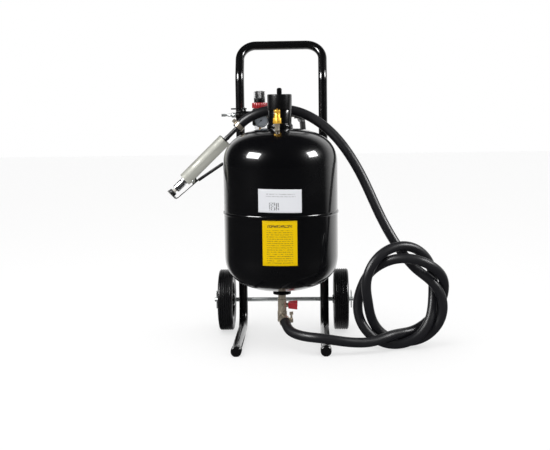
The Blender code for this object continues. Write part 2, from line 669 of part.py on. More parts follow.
# ---- outlet: boss, nipple, valve, mixing tee ----
def outlet_line():
    bore = NIPPLE_R + GAP
    profile = [(0.0132, BOSS_TOP_Z + 0.010), (0.0132, BOSS_TOP_Z), (BOSS_R - 0.002, BOSS_TOP_Z)]
    profile += [(BOSS_R, BOSS_TOP_Z - 0.002), (BOSS_R, BOSS_BOTTOM_Z), (bore, BOSS_BOTTOM_Z),
        (bore, BOSS_TOP_Z + 0.010)]
    place(turned("outlet_boss", profile, 24, closed=True), BLACK_PAINT)
    high = BOSS_TOP_Z + 0.008
    low = VALVE_TOP_Z + GAP
    nipple = [(NIPPLE_R, high), (NIPPLE_R, low), (NIPPLE_BORE_R, low), (NIPPLE_BORE_R, high)]
    place(turned("outlet_nipple", nipple, 20, closed=True), NICKEL)
    ball_r, stem_r = 0.0085, 0.0030
    body = valve_body("outlet_valve_body", VALVE_L, VALVE_R, NIPPLE_BORE_R, ball_r, stem_r)
    place(body, NICKEL, location=(0, 0, VALVE_MID_Z))
    axis = empty_at("outlet_valve_axis", (0, 0, VALVE_MID_Z), ASSEMBLY)
    seat_x = VALVE_R * 1.3 + GAP
    ball = valve_ball("outlet_valve_ball", ball_r, NIPPLE_BORE_R, stem_r, seat_x + 0.009)
    moved(ball, turn=Matrix.Rotation(math.radians(90), 3, "X"))
    place(ball, ZINC, axis)
    middle = seat_x + 0.0012
    half_span = BUTTERFLY_SPAN
    reach = VALVE_R * 1.3 + BUTTERFLY_REACH - 0.003
    plan = [(reach, half_span), (middle + 0.010, 0.0145), (middle + 0.002, 0.0095), (middle, 0.0072)]
    plan = plan + [(x, -y) for x, y in reversed(plan)]
    wings = outline("outlet_valve_handle", strip_outline(plan, 0.0024), 0.017)
    hole = moved(rod("handle_hole", stem_r + GAP, 0.05, 16), turn=ALONG_X)
    place(cut(wings, hole), RED_PLASTIC, axis)
    nut_x = middle + 0.0012 + GAP
    nut = moved(rod("handle_nut", 0.0052, 0.0045, 6), (nut_x, 0, 0), ALONG_X)
    place(cut(nut, moved(rod("nut_hole", stem_r + GAP, 0.05, 16), turn=ALONG_X)), ZINC, axis)


def tail_direction():
    yaw, pitch = math.radians(HOSE_TAIL_YAW), math.radians(HOSE_TAIL_PITCH)
    return Vector((math.sin(yaw) * math.cos(pitch), -math.cos(yaw) * math.cos(pitch), -math.sin(pitch)))


def mixing_tee():
    top = VALVE_BOTTOM_Z - GAP
    body = moved(rod("mixing_tee", TEE_R, top - TEE_BOTTOM_Z, 24), (0, 0, TEE_BOTTOM_Z))
    centre = (0, 0, TEE_Z)
    ahead = turn_to(tail_direction())
    front = moved(rod("tee_front", 0.0112, 0.0205, 20), centre, ahead)
    back = moved(rod("tee_back", 0.0085, 0.0195, 20), centre, turn_to((0, 1, 0)))
    body = joined(body, front, back)
    down = moved(rod("tee_bore_down", NIPPLE_BORE_R, 0.05, 16), (0, 0, TEE_Z))
    ahead_bore = moved(rod("tee_bore_ahead", 0.0060, 0.05, 16), centre, ahead)
    back_bore = moved(rod("tee_bore_back", 0.0040, 0.05, 16), centre, turn_to((0, 1, 0)))
    place(cut(body, down, ahead_bore, back_bore), NICKEL)


def hose_clamp(name, parent, location, turn, sleeve_r):
    """A worm-drive band round the hose end, with its screw housing and thumb key at one side."""
    inner, outer = sleeve_r + GAP, sleeve_r + GAP + 0.0012
    band = turned(name, [(outer, 0.006), (outer, -0.006), (inner, -0.006), (inner, 0.006)], 24, closed=True)
    box = moved(block(name + "_box", (0.009, 0.012, 0.010), 0.001), (outer + 0.0035, 0, 0))
    screw = moved(rod(name + "_screw", 0.0028, 0.018, 10), (outer + 0.0040, 0, 0), turn_to((0, 1, 0)))
    key = moved(block(name + "_key", (0.010, 0.009, 0.0016)), (outer + 0.0040, 0.0215, 0))
    place(joined(band, box, screw, key), NICKEL, parent, location, turn)


# ---- air line: inlet plug, inlet valve, regulator with gauge, manifold, by-pass hose ----
def inlet_side():
    valve_left = INLET_X - INLET_L / 2
    plug_l = valve_left - GAP - PLUG_END_X
    profile = [(0.0025, plug_l), (0.0040, plug_l), (0.0040, 0.030), (0.0028, 0.027), (0.0028, 0.024)]
    profile += [(0.0040, 0.021), (0.0040, 0.012), (0.0072, 0.011), (0.0072, 0.0), (0.0025, 0.0)]
    plug = turned("inlet_plug", profile, 16, closed=True)
    place(plug, ZINC, location=(valve_left - GAP, LINE_Y, LINE_Z), turn=turn_to((-1, 0, 0)))
    ball_r, stem_r = 0.0075, 0.0025
    upright = Matrix(((0, 0, 1), (0, -1, 0), (1, 0, 0)))
    body = valve_body("inlet_valve_body", INLET_L, INLET_R, 0.0045, ball_r, stem_r)
    place(moved(body, turn=upright), BLACK_PLASTIC, location=(INLET_X, LINE_Y, LINE_Z))
    axis = empty_at("inlet_valve_axis", (INLET_X, LINE_Y, LINE_Z), ASSEMBLY)
    seat = INLET_R * 1.3 + GAP
    place(moved(valve_ball("inlet_valve_ball", ball_r, 0.0045, stem_r, seat + 0.006),
        turn=upright), ZINC, axis)
    lever = outline("inlet_valve_lever", lever_plan(), 0.004)
    hole = moved(rod("lever_hole", stem_r + GAP, 0.02, 16), (0, 0, -0.01))
    place(cut(lever, hole), BLACK_PLASTIC, axis, location=(0, 0, seat + 0.002))


def lever_plan():
    """The inlet lever seen from above: a round eye and an arm that widens to its end."""
    plan = arc((0, 0), 0.0075, -150, 150, 10)
    return plan + [(-0.028, 0.0035)] + arc((-0.032, 0), 0.0048, 60, 300, 6) + [(-0.028, -0.0035)]


def regulator():
    low, high = REG_Z
    size = (2 * REG_HALF, 2 * REG_HALF, high - low)
    body = moved(block("regulator_body", size, 0.004), (REG_X, LINE_Y, (low + high) / 2))
    left = REG_X - REG_HALF - 0.5
    bore = moved(rod("regulator_bore", 0.0045, 1.0, 16), (left, LINE_Y, LINE_Z), ALONG_X)
    spindle_hole = moved(rod("regulator_spindle_hole", 0.0040 + GAP, 0.012, 16), (REG_X, LINE_Y,
        high - 0.008))
    place(cut(body, bore, spindle_hole), BLACK_PLASTIC)
    ring_z = high + GAP
    bore_r = 0.0105
    ring = [(RING_R - 0.001, RING_H), (RING_R, RING_H - 0.001), (RING_R, 0.001), (RING_R - 0.001, 0)]
    ring += [(bore_r, 0), (bore_r, RING_H)]
    place(turned("regulator_ring", ring, 24, closed=True), RED_PLASTIC, location=(REG_X, LINE_Y, ring_z))
    knob_low, knob_high = KNOB_Z
    knob = moved(rod("regulator_knob", KNOB_R, knob_high - knob_low, 24, KNOB_R - 0.001), (0, 0, knob_low))
    collar = moved(rod("knob_collar", bore_r - GAP, 0.017, 24), (0, 0, knob_low - 0.0145))
    spindle = moved(rod("knob_spindle", 0.0040, 0.010, 16), (0, 0, knob_low - 0.022))
    knob = joined(knob, collar, spindle)
    axis = empty_at("regulator_knob_axis", (REG_X, LINE_Y, 0), ASSEMBLY)
    place(knob, BLACK_PLASTIC, axis)
    bowl_top = low - GAP
    inner = BOWL_R - 0.0015
    floor = bowl_top - BOWL_H
    cup = [(BOWL_R, bowl_top), (BOWL_R, floor + 0.003), (BOWL_R - 0.004, floor), (0.0030 + GAP, floor)]
    cup += [(0.0030 + GAP, floor + 0.002), (inner - 0.003, floor + 0.002), (inner, floor + 0.004),
        (inner, bowl_top)]
    place(turned("filter_bowl", cup, 24, closed=True), CLEAR, location=(REG_X, LINE_Y, 0))
    drain = [(0, 0.008), (0.0030, 0.008), (0.0030, -GAP), (0.0055, -GAP), (0.0055, -0.004)]
    drain += [(0.0035, -0.008), (0, -0.008)]
    place(turned("filter_drain", drain, 16), BRASS, location=(REG_X, LINE_Y, floor))


def gauge():
    """A small dial gauge on the regulator's front, with a needle that turns in its case."""
    back_y = LINE_Y - REG_HALF - 0.003
    face = Matrix(((1, 0, 0), (0, 0, -1), (0, 1, 0)))
    wall = 0.0018
    inner = GAUGE_R - wall
    place_at = (GAUGE_X, back_y, GAUGE_Z)
    profile = [(0, 0.0065), (inner, 0.0065), (inner, GAUGE_T), (GAUGE_R - 0.0006, GAUGE_T)]
    profile += [(GAUGE_R, GAUGE_T - 0.002), (GAUGE_R, 0.002), (GAUGE_R - 0.003, 0), (0.0045, 0)]
    profile += [(0.0045, -0.003 + GAP), (0, -0.003 + GAP)]
    case = turned("gauge_case", profile, 28)
    case = cut(case, moved(rod("gauge_spindle_hole", 0.0012 + RUNNING, 0.009, 12), (0, 0, -0.001)))
    place(case, BLACK_PLASTIC, location=place_at, turn=face)
    dial = [(inner - GAP, 0.0085), (inner - GAP, 0.0068), (0.0012 + GAP, 0.0068), (0.0012 + GAP, 0.0085)]
    place(turned("gauge_dial", dial, 28, closed=True), DIAL_WHITE, location=place_at, turn=face)
    needle = outline("gauge_needle", needle_plan(), 0.0006)
    moved(needle, (0, 0, 0.0100))
    hub = moved(rod("needle_hub", 0.0022, 0.0022, 12), (0, 0, 0.0092))
    spindle = moved(rod("needle_spindle", 0.0012, 0.0100, 12), (0, 0, 0.0))
    axis = empty_at("gauge_axis", place_at, ASSEMBLY)
    place(joined(needle, hub, spindle), BLACK_PLASTIC, axis, turn=face)
    lens = [(0, 0.0155), (inner - GAP, 0.0155), (inner - GAP, 0.0135), (0, 0.0135)]
    place(turned("gauge_lens", lens, 28), CLEAR, location=place_at, turn=face)


def needle_plan():
    """The gauge needle, pointing to the dial's zero at its lower left."""
    zero = math.radians(225)
    tip = Vector((math.cos(zero), math.sin(zero)))
    side = Vector((-tip.y, tip.x))
    corners = [tip * 0.0135, tip * -0.004 + side * 0.0011, tip * -0.004 - side * 0.0011]
    return [tuple(p) for p in corners]


def manifold():
    """The cross that takes air from the regulator to the tank's top and to the by-pass elbow."""
    left = REG_X + REG_HALF + GAP
    right = ELBOW_X - 0.0105
    run = moved(rod("air_manifold", LINE_PIPE_R, right - left, 16), (left, LINE_Y, LINE_Z), ALONG_X)
    centre = moved(rod("manifold_middle", 0.0125, 0.032, 20), (-0.016, LINE_Y, LINE_Z), ALONG_X)
    hexes = [moved(rod(f"manifold_hex_{x}", 0.0105, 0.008, 6), (x, LINE_Y, LINE_Z),
        ALONG_X) for x in (-0.032, 0.022)]
    riser = moved(rod("manifold_riser", 0.0095, LINE_Z - HEAD_TOP_Z, 20), (0, LINE_Y, HEAD_TOP_Z))
    run = joined(run, centre, *hexes, riser)
    run = cut(run, head_cutter("head_under_manifold"))
    along = moved(rod("manifold_bore_run", 0.0045, 1.0, 12), (-0.5, LINE_Y, LINE_Z), ALONG_X)
    down = moved(rod("manifold_bore_down", 0.0045, 0.5, 12), (0, LINE_Y, LINE_Z - 0.5))
    place(cut(run, along, down), NICKEL)


def bypass():
    """The black elbow and the hose that brings air down behind the tank to the mixing tee."""
    elbow_r = 0.0120
    inlet = (ELBOW_X - 0.0102, LINE_Y, LINE_Z)
    corner = (ELBOW_X + 0.006, LINE_Y, LINE_Z)
    outlet = (ELBOW_X + 0.010, LINE_Y + 0.017, LINE_Z - 0.013)
    bend = tube("bypass_elbow", rounded_path([inlet, corner, outlet], [0.007], 4), elbow_r, 3)
    place(bend, BLACK_PLASTIC)
    leave = (Vector(outlet) - Vector(corner)).normalized()
    start = Vector(outlet) + leave * GAP
    back_y = FRAME_Y + 0.002
    tee_end = Vector((0, 0.0195 + GAP, TEE_Z))
    route = [start, start + leave * 0.012, (0.060, 0.148, 0.586), (0.062, 0.166, 0.562), (0.063,
        back_y, 0.530)]
    route += [(0.063, back_y, 0.450), (0.062, back_y, 0.360), (0.052, back_y, 0.285), (0.028,
        back_y, 0.222)]
    route += [(0.006, 0.160, 0.182), (-0.003, 0.138, 0.150), (-0.003, 0.110, 0.121), (-0.002, 0.080, 0.097)]
    route += [(0.0, 0.054, 0.081), tee_end + Vector((0, 0.014, 0)), tee_end]
    place(tube("bypass_hose", spline_path(route, 30), BYPASS_R, 2), RUBBER)


# ---- blast hose ----
def blast_hose():
    ahead = tail_direction()
    tee_end = Vector((0, 0, TEE_Z)) + ahead * (0.0205 + GAP)
    up_gun = Vector((math.cos(math.radians(GUN_TILT)), 0, math.sin(math.radians(GUN_TILT))))
    lead = [Vector(GUN_END) + up_gun * step for step in (0, 0.013, 0.026)]
    route = [*lead, *[Vector(p) for p in HOSE_ROUTE], tee_end + ahead * 0.020, tee_end]
    place(tube("blast_hose", spline_path(route, HOSE_POINTS), HOSE_R, 2), RUBBER)
    clamp_at = tee_end + ahead * 0.010
    key_side = Vector((1, 0, 0)) - ahead * ahead.x
    up = ahead.cross(key_side.normalized())
    turn = Matrix((key_side.normalized(), up, ahead)).transposed()
    hose_clamp("tee_hose_clamp", None, clamp_at, turn, HOSE_R + 0.0004)


# ---- blast gun, in its own axes: local X runs from the hose to the nozzle, local Z towards the lever ----
def gun():
    turn = Matrix.Rotation(math.radians(180 - GUN_TILT), 3, "Y")
    axes = empty_at("gun_axes", GUN_END, ASSEMBLY, turn)
    first, last = GRIP_X
    pipe = [(PIPE_R, last - GAP), (PIPE_R, 0.040), (PIPE_R + 0.0008, 0.036), (PIPE_R, 0.032)]
    pipe += [(PIPE_R, GAP), (0.004, GAP), (0.004, last - GAP)]
    place(moved(turned("gun_pipe", pipe, 16, closed=True), turn=ALONG_X), BLACK_PLASTIC, axes)
    hose_clamp("gun_hose_clamp", axes, (-0.010, 0, 0), ALONG_X, HOSE_R + 0.0006)
    gun_grip(axes, first, last)
    bore = 0.004
    holder = [(HOLDER_R - 0.001, HOLDER_END_X), (HOLDER_R, HOLDER_END_X - 0.001), (HOLDER_R, last + 0.010)]
    holder += [(HOLDER_R - 0.0015, last + 0.009), (HOLDER_R - 0.0015, last + 0.006), (HOLDER_R,
        last + 0.005)]
    holder += [(HOLDER_R, last + GAP), (bore, last + GAP), (bore, HOLDER_END_X - 0.006)]
    holder += [(NOZZLE_R + GAP, HOLDER_END_X - 0.006), (NOZZLE_R + GAP, HOLDER_END_X)]
    place(moved(turned("nozzle_holder", holder, 24, closed=True), turn=ALONG_X), BRIGHT_ALUMINIUM, axes)
    tip = [(NOZZLE_R - 0.0008, NOZZLE_END_X), (NOZZLE_R, NOZZLE_END_X - 0.001)]
    tip += [(NOZZLE_R, HOLDER_END_X - 0.006 + GAP), (0.0017, HOLDER_END_X - 0.006 + GAP), (0.0017,
        NOZZLE_END_X)]
    place(moved(turned("nozzle", tip, 20, closed=True), turn=ALONG_X), CERAMIC, axes)
    gun_lever(axes)


def gun_grip(axes, first, last):
    """A cast channel, open towards the lever, closed at both ends round the pipe."""
    outer = arc((0, 0), GRIP_R, 180, 360, 10)
    inner = arc((0, 0), GRIP_R - GRIP_WALL, 360, 180, 10)
    skirt = GRIP_SKIRT
    section = [(-GRIP_R, skirt), *outer, (GRIP_R, skirt), (GRIP_R - GRIP_WALL, skirt), *inner]
    section += [(GRIP_WALL - GRIP_R, skirt)]
    stand = Matrix(((0, 0, 1), (1, 0, 0), (0, 1, 0)))
    channel = moved(outline("gun_grip", section, last - first), ((first + last) / 2, 0, 0), stand)
    plates = []
    for x in (first + 0.004, (first + last) / 2, last - 0.004):
        disc = [(-GRIP_R + 0.001, skirt - 0.001), *arc((0, 0), GRIP_R - 0.001, 180, 360, 10)]
        disc += [(GRIP_R - 0.001, skirt - 0.001)]
        plates.append(moved(outline(f"grip_plate_{len(plates)}", disc, 0.006), (x, 0, 0), stand))
    ear_x, ear_z = PIVOT
    ears = []
    for side in (-1, 1):
        eye = [(0.013, -0.016), *arc((0, 0), 0.0055, 20, 160, 6), (-0.014, -0.016)]
        lay = Matrix(((1, 0, 0), (0, 0, -1), (0, 1, 0)))
        plate = outline(f"grip_ear_{side}", eye, GRIP_WALL - 0.0006)
        y = side * (GRIP_R - GRIP_WALL / 2)
        ears.append(moved(plate, (ear_x, y, ear_z), lay))
    grip = joined(channel, *plates, *ears)
    drill = moved(rod("grip_pipe_hole", PIPE_R + GAP, 0.3, 16), (first - 0.05, 0, 0), ALONG_X)
    pin_hole = moved(rod("grip_pin_hole", 0.002 + GAP, 0.06, 16), (ear_x, 0.03, ear_z), ALONG_MINUS_Y)
    place(cut(grip, drill, pin_hole), CAST_GREY, axes)
    pin = moved(rod("lever_pin", 0.002, 2 * GRIP_R + 0.0016, 24), (ear_x, GRIP_R + 0.0008, ear_z),
        ALONG_MINUS_Y)
    heads = []
    for number, y in enumerate((GRIP_R + GAP + 0.0012, -GRIP_R - GAP)):
        heads.append(moved(rod(f"pin_head_{number}", 0.0032, 0.0012, 12), (ear_x, y, ear_z), ALONG_MINUS_Y))
    pin = joined(pin, *heads)
    place(pin, ZINC, axes)
    turns = 3
    steps = 8 * turns
    coil = []
    for index in range(steps + 1):
        angle = math.tau * index / 8
        y = -0.0048 + 0.0096 * index / steps
        coil.append((0.0038 * math.cos(angle), y, 0.0038 * math.sin(angle)))
    spring = tube("lever_spring", coil, COIL_WIRE_R, 1)
    place(spring, ZINC, axes, location=(ear_x, 0, ear_z))


def gun_lever(axes):
    """The bent lever: a tail along the grip, a pivot, and a front plate that carries the pad which
    closes the nozzle's mouth."""
    x, z = PIVOT
    axis = empty_at("gun_lever_axis", (x, 0, z), axes)
    mouth = NOZZLE_END_X + GAP + PAD_T + GAP + LEVER_T / 2 - x
    side = [(0.0815 - x, 0.0440 - z), (0.165 - x, 0.0268 - z), (0.196 - x, 0.0246 - z)]
    side += [(mouth - 0.006, 0.0205 - z), (mouth - 0.0012, 0.0190 - z), (mouth, 0.0155 - z),
        (mouth, -0.0120 - z)]
    lay = Matrix(((1, 0, 0), (0, 0, -1), (0, 1, 0)))
    lever = moved(outline("gun_lever", strip_outline(side, LEVER_T), LEVER_W), turn=lay)
    ears = []
    for hand in (-1, 1):
        eye = [*arc((0, 0), 0.0050, 180, 360, 8), (0.0100, 0.0060), (-0.0100, 0.0074)]
        plate = outline(f"lever_ear_{hand}", eye, 0.0025)
        ears.append(moved(plate, (0, hand * 0.0085, 0), lay))
    lever = joined(lever, *ears)
    drill = moved(rod("lever_pin_hole", 0.002 + RUNNING, 0.06, 24), (0, 0.03, 0), ALONG_MINUS_Y)
    place(cut(lever, drill), ZINC, axis)
    pad = moved(rod("shutoff_pad", 0.0105, PAD_T, 20), (NOZZLE_END_X + GAP - x, 0, -z), ALONG_X)
    place(pad, RUBBER, axis)


tank_shells()
label("data_label", DATA_LABEL, WHITE_LABEL)
label("caution_label", CAUTION_LABEL, YELLOW_LABEL)
filler()
safety_valve()
frame()
foot_cap("left_foot_cap", -1)
foot_cap("right_foot_cap", 1)
cross_bars()
axle()
axle_washers()
hairpin("left_hairpin", -1)
hairpin("right_hairpin", 1)
wheel("left", -1)
wheel("right", 1)
outlet_line()
mixing_tee()
inlet_side()
regulator()
gauge()
manifold()
bypass()
blast_hose()
gun()


def footprint_middle():
    """The middle of the footprint of everything but the blast hose, to a tenth of a millimetre."""
    bpy.context.view_layer.update()
    low = [math.inf, math.inf]
    high = [-math.inf, -math.inf]
    for obj in PARTS.objects:
        if obj.name == "blast_hose":
            continue
        for vertex in obj.data.vertices:
            point = obj.matrix_world @ vertex.co
            for k in (0, 1):
                low[k] = min(low[k], point[k])
                high[k] = max(high[k], point[k])
    return [round((low[k] + high[k]) / 2, 4) for k in (0, 1)]


middle_x, middle_y = footprint_middle()
ASSEMBLY.location = (-middle_x, -middle_y, 0)
print("tank axis stands at", -middle_x, -middle_y)
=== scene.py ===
"""Looks for the portable pressure-pot abrasive blaster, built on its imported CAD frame.

Metres, +Z up, labelled front towards -Y. Sizes are given from the tank's vertical axis.
"""

import math

import bmesh
import bpy
import numpy as np
from mathutils import Matrix, Vector
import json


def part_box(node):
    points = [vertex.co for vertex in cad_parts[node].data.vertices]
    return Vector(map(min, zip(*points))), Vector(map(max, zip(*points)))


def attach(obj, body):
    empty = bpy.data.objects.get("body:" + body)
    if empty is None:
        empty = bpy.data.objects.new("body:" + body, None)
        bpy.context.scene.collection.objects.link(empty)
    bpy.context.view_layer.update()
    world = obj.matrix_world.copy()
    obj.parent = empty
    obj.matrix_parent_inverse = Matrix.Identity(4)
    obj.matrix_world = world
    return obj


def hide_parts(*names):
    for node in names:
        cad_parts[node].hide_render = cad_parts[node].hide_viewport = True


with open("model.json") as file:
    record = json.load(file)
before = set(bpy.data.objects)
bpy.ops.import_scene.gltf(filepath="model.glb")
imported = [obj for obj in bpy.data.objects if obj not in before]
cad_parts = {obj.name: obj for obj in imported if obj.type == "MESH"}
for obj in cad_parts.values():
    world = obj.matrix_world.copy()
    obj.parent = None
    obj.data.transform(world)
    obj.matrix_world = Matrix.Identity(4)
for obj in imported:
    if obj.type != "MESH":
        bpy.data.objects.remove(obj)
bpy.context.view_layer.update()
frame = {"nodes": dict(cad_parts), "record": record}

# ---- Where things stand ----
# The filler stands on the tank's axis, so the middle of its cap gives the axis. Every place below is
# measured from the foot of that axis.
cap_low, cap_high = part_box("filler_cap")
AXIS = Vector(((cap_low[0] + cap_high[0]) / 2, (cap_low[1] + cap_high[1]) / 2, 0.0))
FROM_AXIS = Matrix.Translation(AXIS)

# ---- Camera ----
# It stands 2.8 m in front and a little above the tank's middle, a touch to the right, and looks
# slightly down and to the left.
camera = bpy.data.objects.new("camera", bpy.data.cameras.new("camera"))
bpy.context.scene.collection.objects.link(camera)
camera.data.sensor_width = 36.0
camera.data.lens = 67.68
camera.matrix_world = (
    Matrix.Translation(AXIS + Vector((0.085, -2.77, 0.674)))
    @ Matrix.Rotation(math.radians(2.1), 4, "Z")
    @ Matrix.Rotation(math.radians(90 - 7.17), 4, "X")
    @ Matrix.Rotation(math.radians(-0.8), 4, "Z")
)
bpy.context.scene.camera = camera
bpy.context.scene.view_settings.view_transform = "Standard"

# ---- Blast hose ----
# Thick-walled rubber hose, 26 mm outside. It rises behind the filler, drops at the right, makes two
# standing turns and ends at the mixing tee. Its own stiffness holds the arch up.
HOSE_R = 0.013
GUN_END = np.array((-0.1195, 0.050, 0.585))
GUN_TILT = math.radians(44.0)
TEE_CENTRE = np.array((0.0, 0.0, 0.077))
TAIL_YAW, TAIL_PITCH = math.radians(14.0), math.radians(18.5)
TAIL = np.array((math.sin(TAIL_YAW) * math.cos(TAIL_PITCH), -math.cos(TAIL_YAW) * math.cos(TAIL_PITCH),
                 -math.sin(TAIL_PITCH)))
UP_GUN = np.array((math.cos(GUN_TILT), 0.0, math.sin(GUN_TILT)))
TEE_END = TEE_CENTRE + TAIL * 0.0208
HOSE_ROUTE = np.array([
    (-0.078, 0.043, 0.619), (-0.041, 0.042, 0.632), (0.003, 0.050, 0.637), (0.049, 0.047, 0.630),
    (0.091, 0.041, 0.610), (0.127, 0.035, 0.583), (0.158, 0.027, 0.551), (0.184, 0.018, 0.515),
    (0.207, 0.010, 0.477), (0.227, 0.001, 0.437), (0.245, -0.007, 0.396), (0.263, -0.013, 0.355),
    (0.283, -0.020, 0.315), (0.306, -0.026, 0.276), (0.331, -0.034, 0.240), (0.358, -0.049, 0.208),
    (0.398, -0.062, 0.183), (0.426, -0.061, 0.143), (0.432, -0.056, 0.095), (0.414, -0.050, 0.050),
    (0.377, -0.047, 0.019), (0.331, -0.045, 0.010), (0.287, -0.049, 0.021), (0.253, -0.056, 0.049),
    (0.235, -0.067, 0.088), (0.229, -0.091, 0.131), (0.220, -0.101, 0.178), (0.234, -0.100, 0.227),
    (0.267, -0.088, 0.263), (0.310, -0.071, 0.278), (0.352, -0.053, 0.271), (0.387, -0.036, 0.243),
    (0.406, -0.024, 0.201), (0.407, -0.025, 0.154), (0.404, -0.041, 0.111), (0.395, -0.060, 0.071),
    (0.369, -0.070, 0.034), (0.327, -0.076, 0.013), (0.279, -0.078, 0.012), (0.235, -0.075, 0.034),
    (0.207, -0.067, 0.073), (0.200, -0.056, 0.118), (0.212, -0.058, 0.164), (0.231, -0.062, 0.203),
    (0.263, -0.073, 0.229), (0.302, -0.089, 0.247), (0.348, -0.095, 0.246), (0.389, -0.090, 0.230),
    (0.421, -0.069, 0.204), (0.436, -0.043, 0.171), (0.434, -0.025, 0.129), (0.416, -0.020, 0.087),
    (0.385, -0.026, 0.055), (0.348, -0.043, 0.039), (0.313, -0.065, 0.040), (0.281, -0.099, 0.041),
    (0.241, -0.117, 0.028), (0.196, -0.130, 0.030), (0.153, -0.140, 0.037), (0.108, -0.142, 0.046),
    (0.066, -0.130, 0.046), (0.021, -0.086, 0.048),
])


def flowing_line(knots, count):
    """The uniform cubic B-spline through the mirrored ends of its knots: at each place along it, the
    four nearest knots weighed by (1-t)^3, 3t^3-6t^2+4, -3t^3+3t^2+3t+1 and t^3, over six."""
    knots = np.vstack([2 * knots[0] - knots[1], knots, 2 * knots[-1] - knots[-2]])
    spans = len(knots) - 3
    along = np.linspace(0, spans, count)
    span = np.minimum(along.astype(int), spans - 1)
    t = (along - span)[:, None]
    weights = ((1 - t) ** 3, 3 * t**3 - 6 * t**2 + 4, -3 * t**3 + 3 * t**2 + 3 * t + 1, t**3)
    return sum(knots[span + k] * w / 6 for k, w in enumerate(weights))


def skin(name, points, across, along, place=FROM_AXIS):
    """A piece whose surface is a grid of points. Points that meet become one, which closes seams and
    poles, and the faces are turned outwards. across and along give the grid's own pattern
    coordinates in metres, kept as the piece's UV map."""
    rows, cols = points.shape[:2]
    number = np.arange(rows * cols).reshape(rows, cols)
    corners = [number[:-1, :-1], number[:-1, 1:], number[1:, 1:], number[1:, :-1]]
    quads = np.stack(corners, -1).reshape(-1, 4)
    mesh = bpy.data.meshes.new(name)
    mesh.from_pydata(points.reshape(-1, 3).tolist(), [], quads.tolist())
    pattern = np.stack(np.broadcast_arrays(across, along), -1).reshape(-1, 2)
    layer = mesh.uv_layers.new(name="surface")
    layer.data.foreach_set("uv", pattern[quads.ravel()].ravel())
    mesh.transform(place)
    return closed_piece(name, mesh)


def closed_piece(name, mesh):
    """The object of a mesh once its doubles are merged, its faces turned outwards and its round
    faces smooth."""
    bm = bmesh.new()
    bm.from_mesh(mesh)
    bmesh.ops.remove_doubles(bm, verts=bm.verts, dist=0.000002)
    bmesh.ops.dissolve_degenerate(bm, edges=bm.edges, dist=0.000001)
    bmesh.ops.recalc_face_normals(bm, faces=bm.faces)
    bm.to_mesh(mesh)
    bm.free()
    mesh.shade_smooth()
    mesh.set_sharp_from_angle(angle=math.radians(38))
    piece = bpy.data.objects.new(name, mesh)
    bpy.context.scene.collection.objects.link(piece)
    return piece


def carried(name, path, section, lean=(1.0, 1.0, 1.0), place=FROM_AXIS, capped=True):
    """A section carried along a path: each station's sideways axis is the lean direction less its
    part along the path, and the second axis is square to both. The section is a closed loop of
    (sideways, second) sizes, and the ends close on their middles."""
    ahead = np.gradient(path, axis=0)
    ahead /= np.linalg.norm(ahead, axis=1, keepdims=True)
    lean = np.asarray(lean, float)
    side = lean - (ahead @ lean)[:, None] * ahead
    side /= np.linalg.norm(side, axis=1, keepdims=True)
    second = np.cross(ahead, side)
    loop = np.vstack([section, section[:1]])
    grid = path[:, None] + side[:, None] * loop[None, :, :1] + second[:, None] * loop[None, :, 1:]
    if capped:
        first = np.broadcast_to(path[:1, None], (1, len(loop), 3))
        last = np.broadcast_to(path[-1:, None], (1, len(loop), 3))
        grid = np.concatenate([first, grid, last])
    steps = np.linalg.norm(np.diff(grid.mean(axis=1), axis=0), axis=1)
    along = np.concatenate([[0.0], np.cumsum(steps)])[:, None]
    around = np.concatenate([[0.0], np.cumsum(np.linalg.norm(np.diff(loop, axis=0), axis=1))])[None]
    return skin(name, grid, around, along, place)


def ring_section(radius, sides):
    """A circle as a loop of (cosine, sine) points."""
    turn = np.linspace(0, 2 * np.pi, sides, endpoint=False)
    return radius * np.stack([np.cos(turn), np.sin(turn)], -1)


def material_of(name, colour, roughness, metallic=0.0, coat=0.0, coat_roughness=0.03, specular=0.5):
    """A material and its one Principled shader, with its plain values on the shader's own sockets."""
    made = bpy.data.materials.new(name)
    made.use_nodes = True
    shader = made.node_tree.nodes["Principled BSDF"]
    shader.inputs["Base Color"].default_value = (*colour, 1.0)
    shader.inputs["Roughness"].default_value = roughness
    shader.inputs["Metallic"].default_value = metallic
    shader.inputs["Coat Weight"].default_value = coat
    shader.inputs["Coat Roughness"].default_value = coat_roughness
    shader.inputs["Specular IOR Level"].default_value = specular
    return made


def wire(made, source, socket, target, target_socket):
    """Joins two nodes of a material or group by the names of their sockets."""
    made.node_tree.links.new(source.outputs[socket], target.inputs[target_socket])


def group_tree(name, numbers, results):
    """An empty shader group with number inputs, given as name and value, and its outputs."""
    tree = bpy.data.node_groups.new(name, "ShaderNodeTree")
    for title, value in numbers:
        socket = tree.interface.new_socket(title, in_out="INPUT", socket_type="NodeSocketFloat")
        socket.default_value = value
    for title, kind in results:
        tree.interface.new_socket(title, in_out="OUTPUT", socket_type=kind)
    return tree, tree.nodes.new("NodeGroupInput"), tree.nodes.new("NodeGroupOutput")


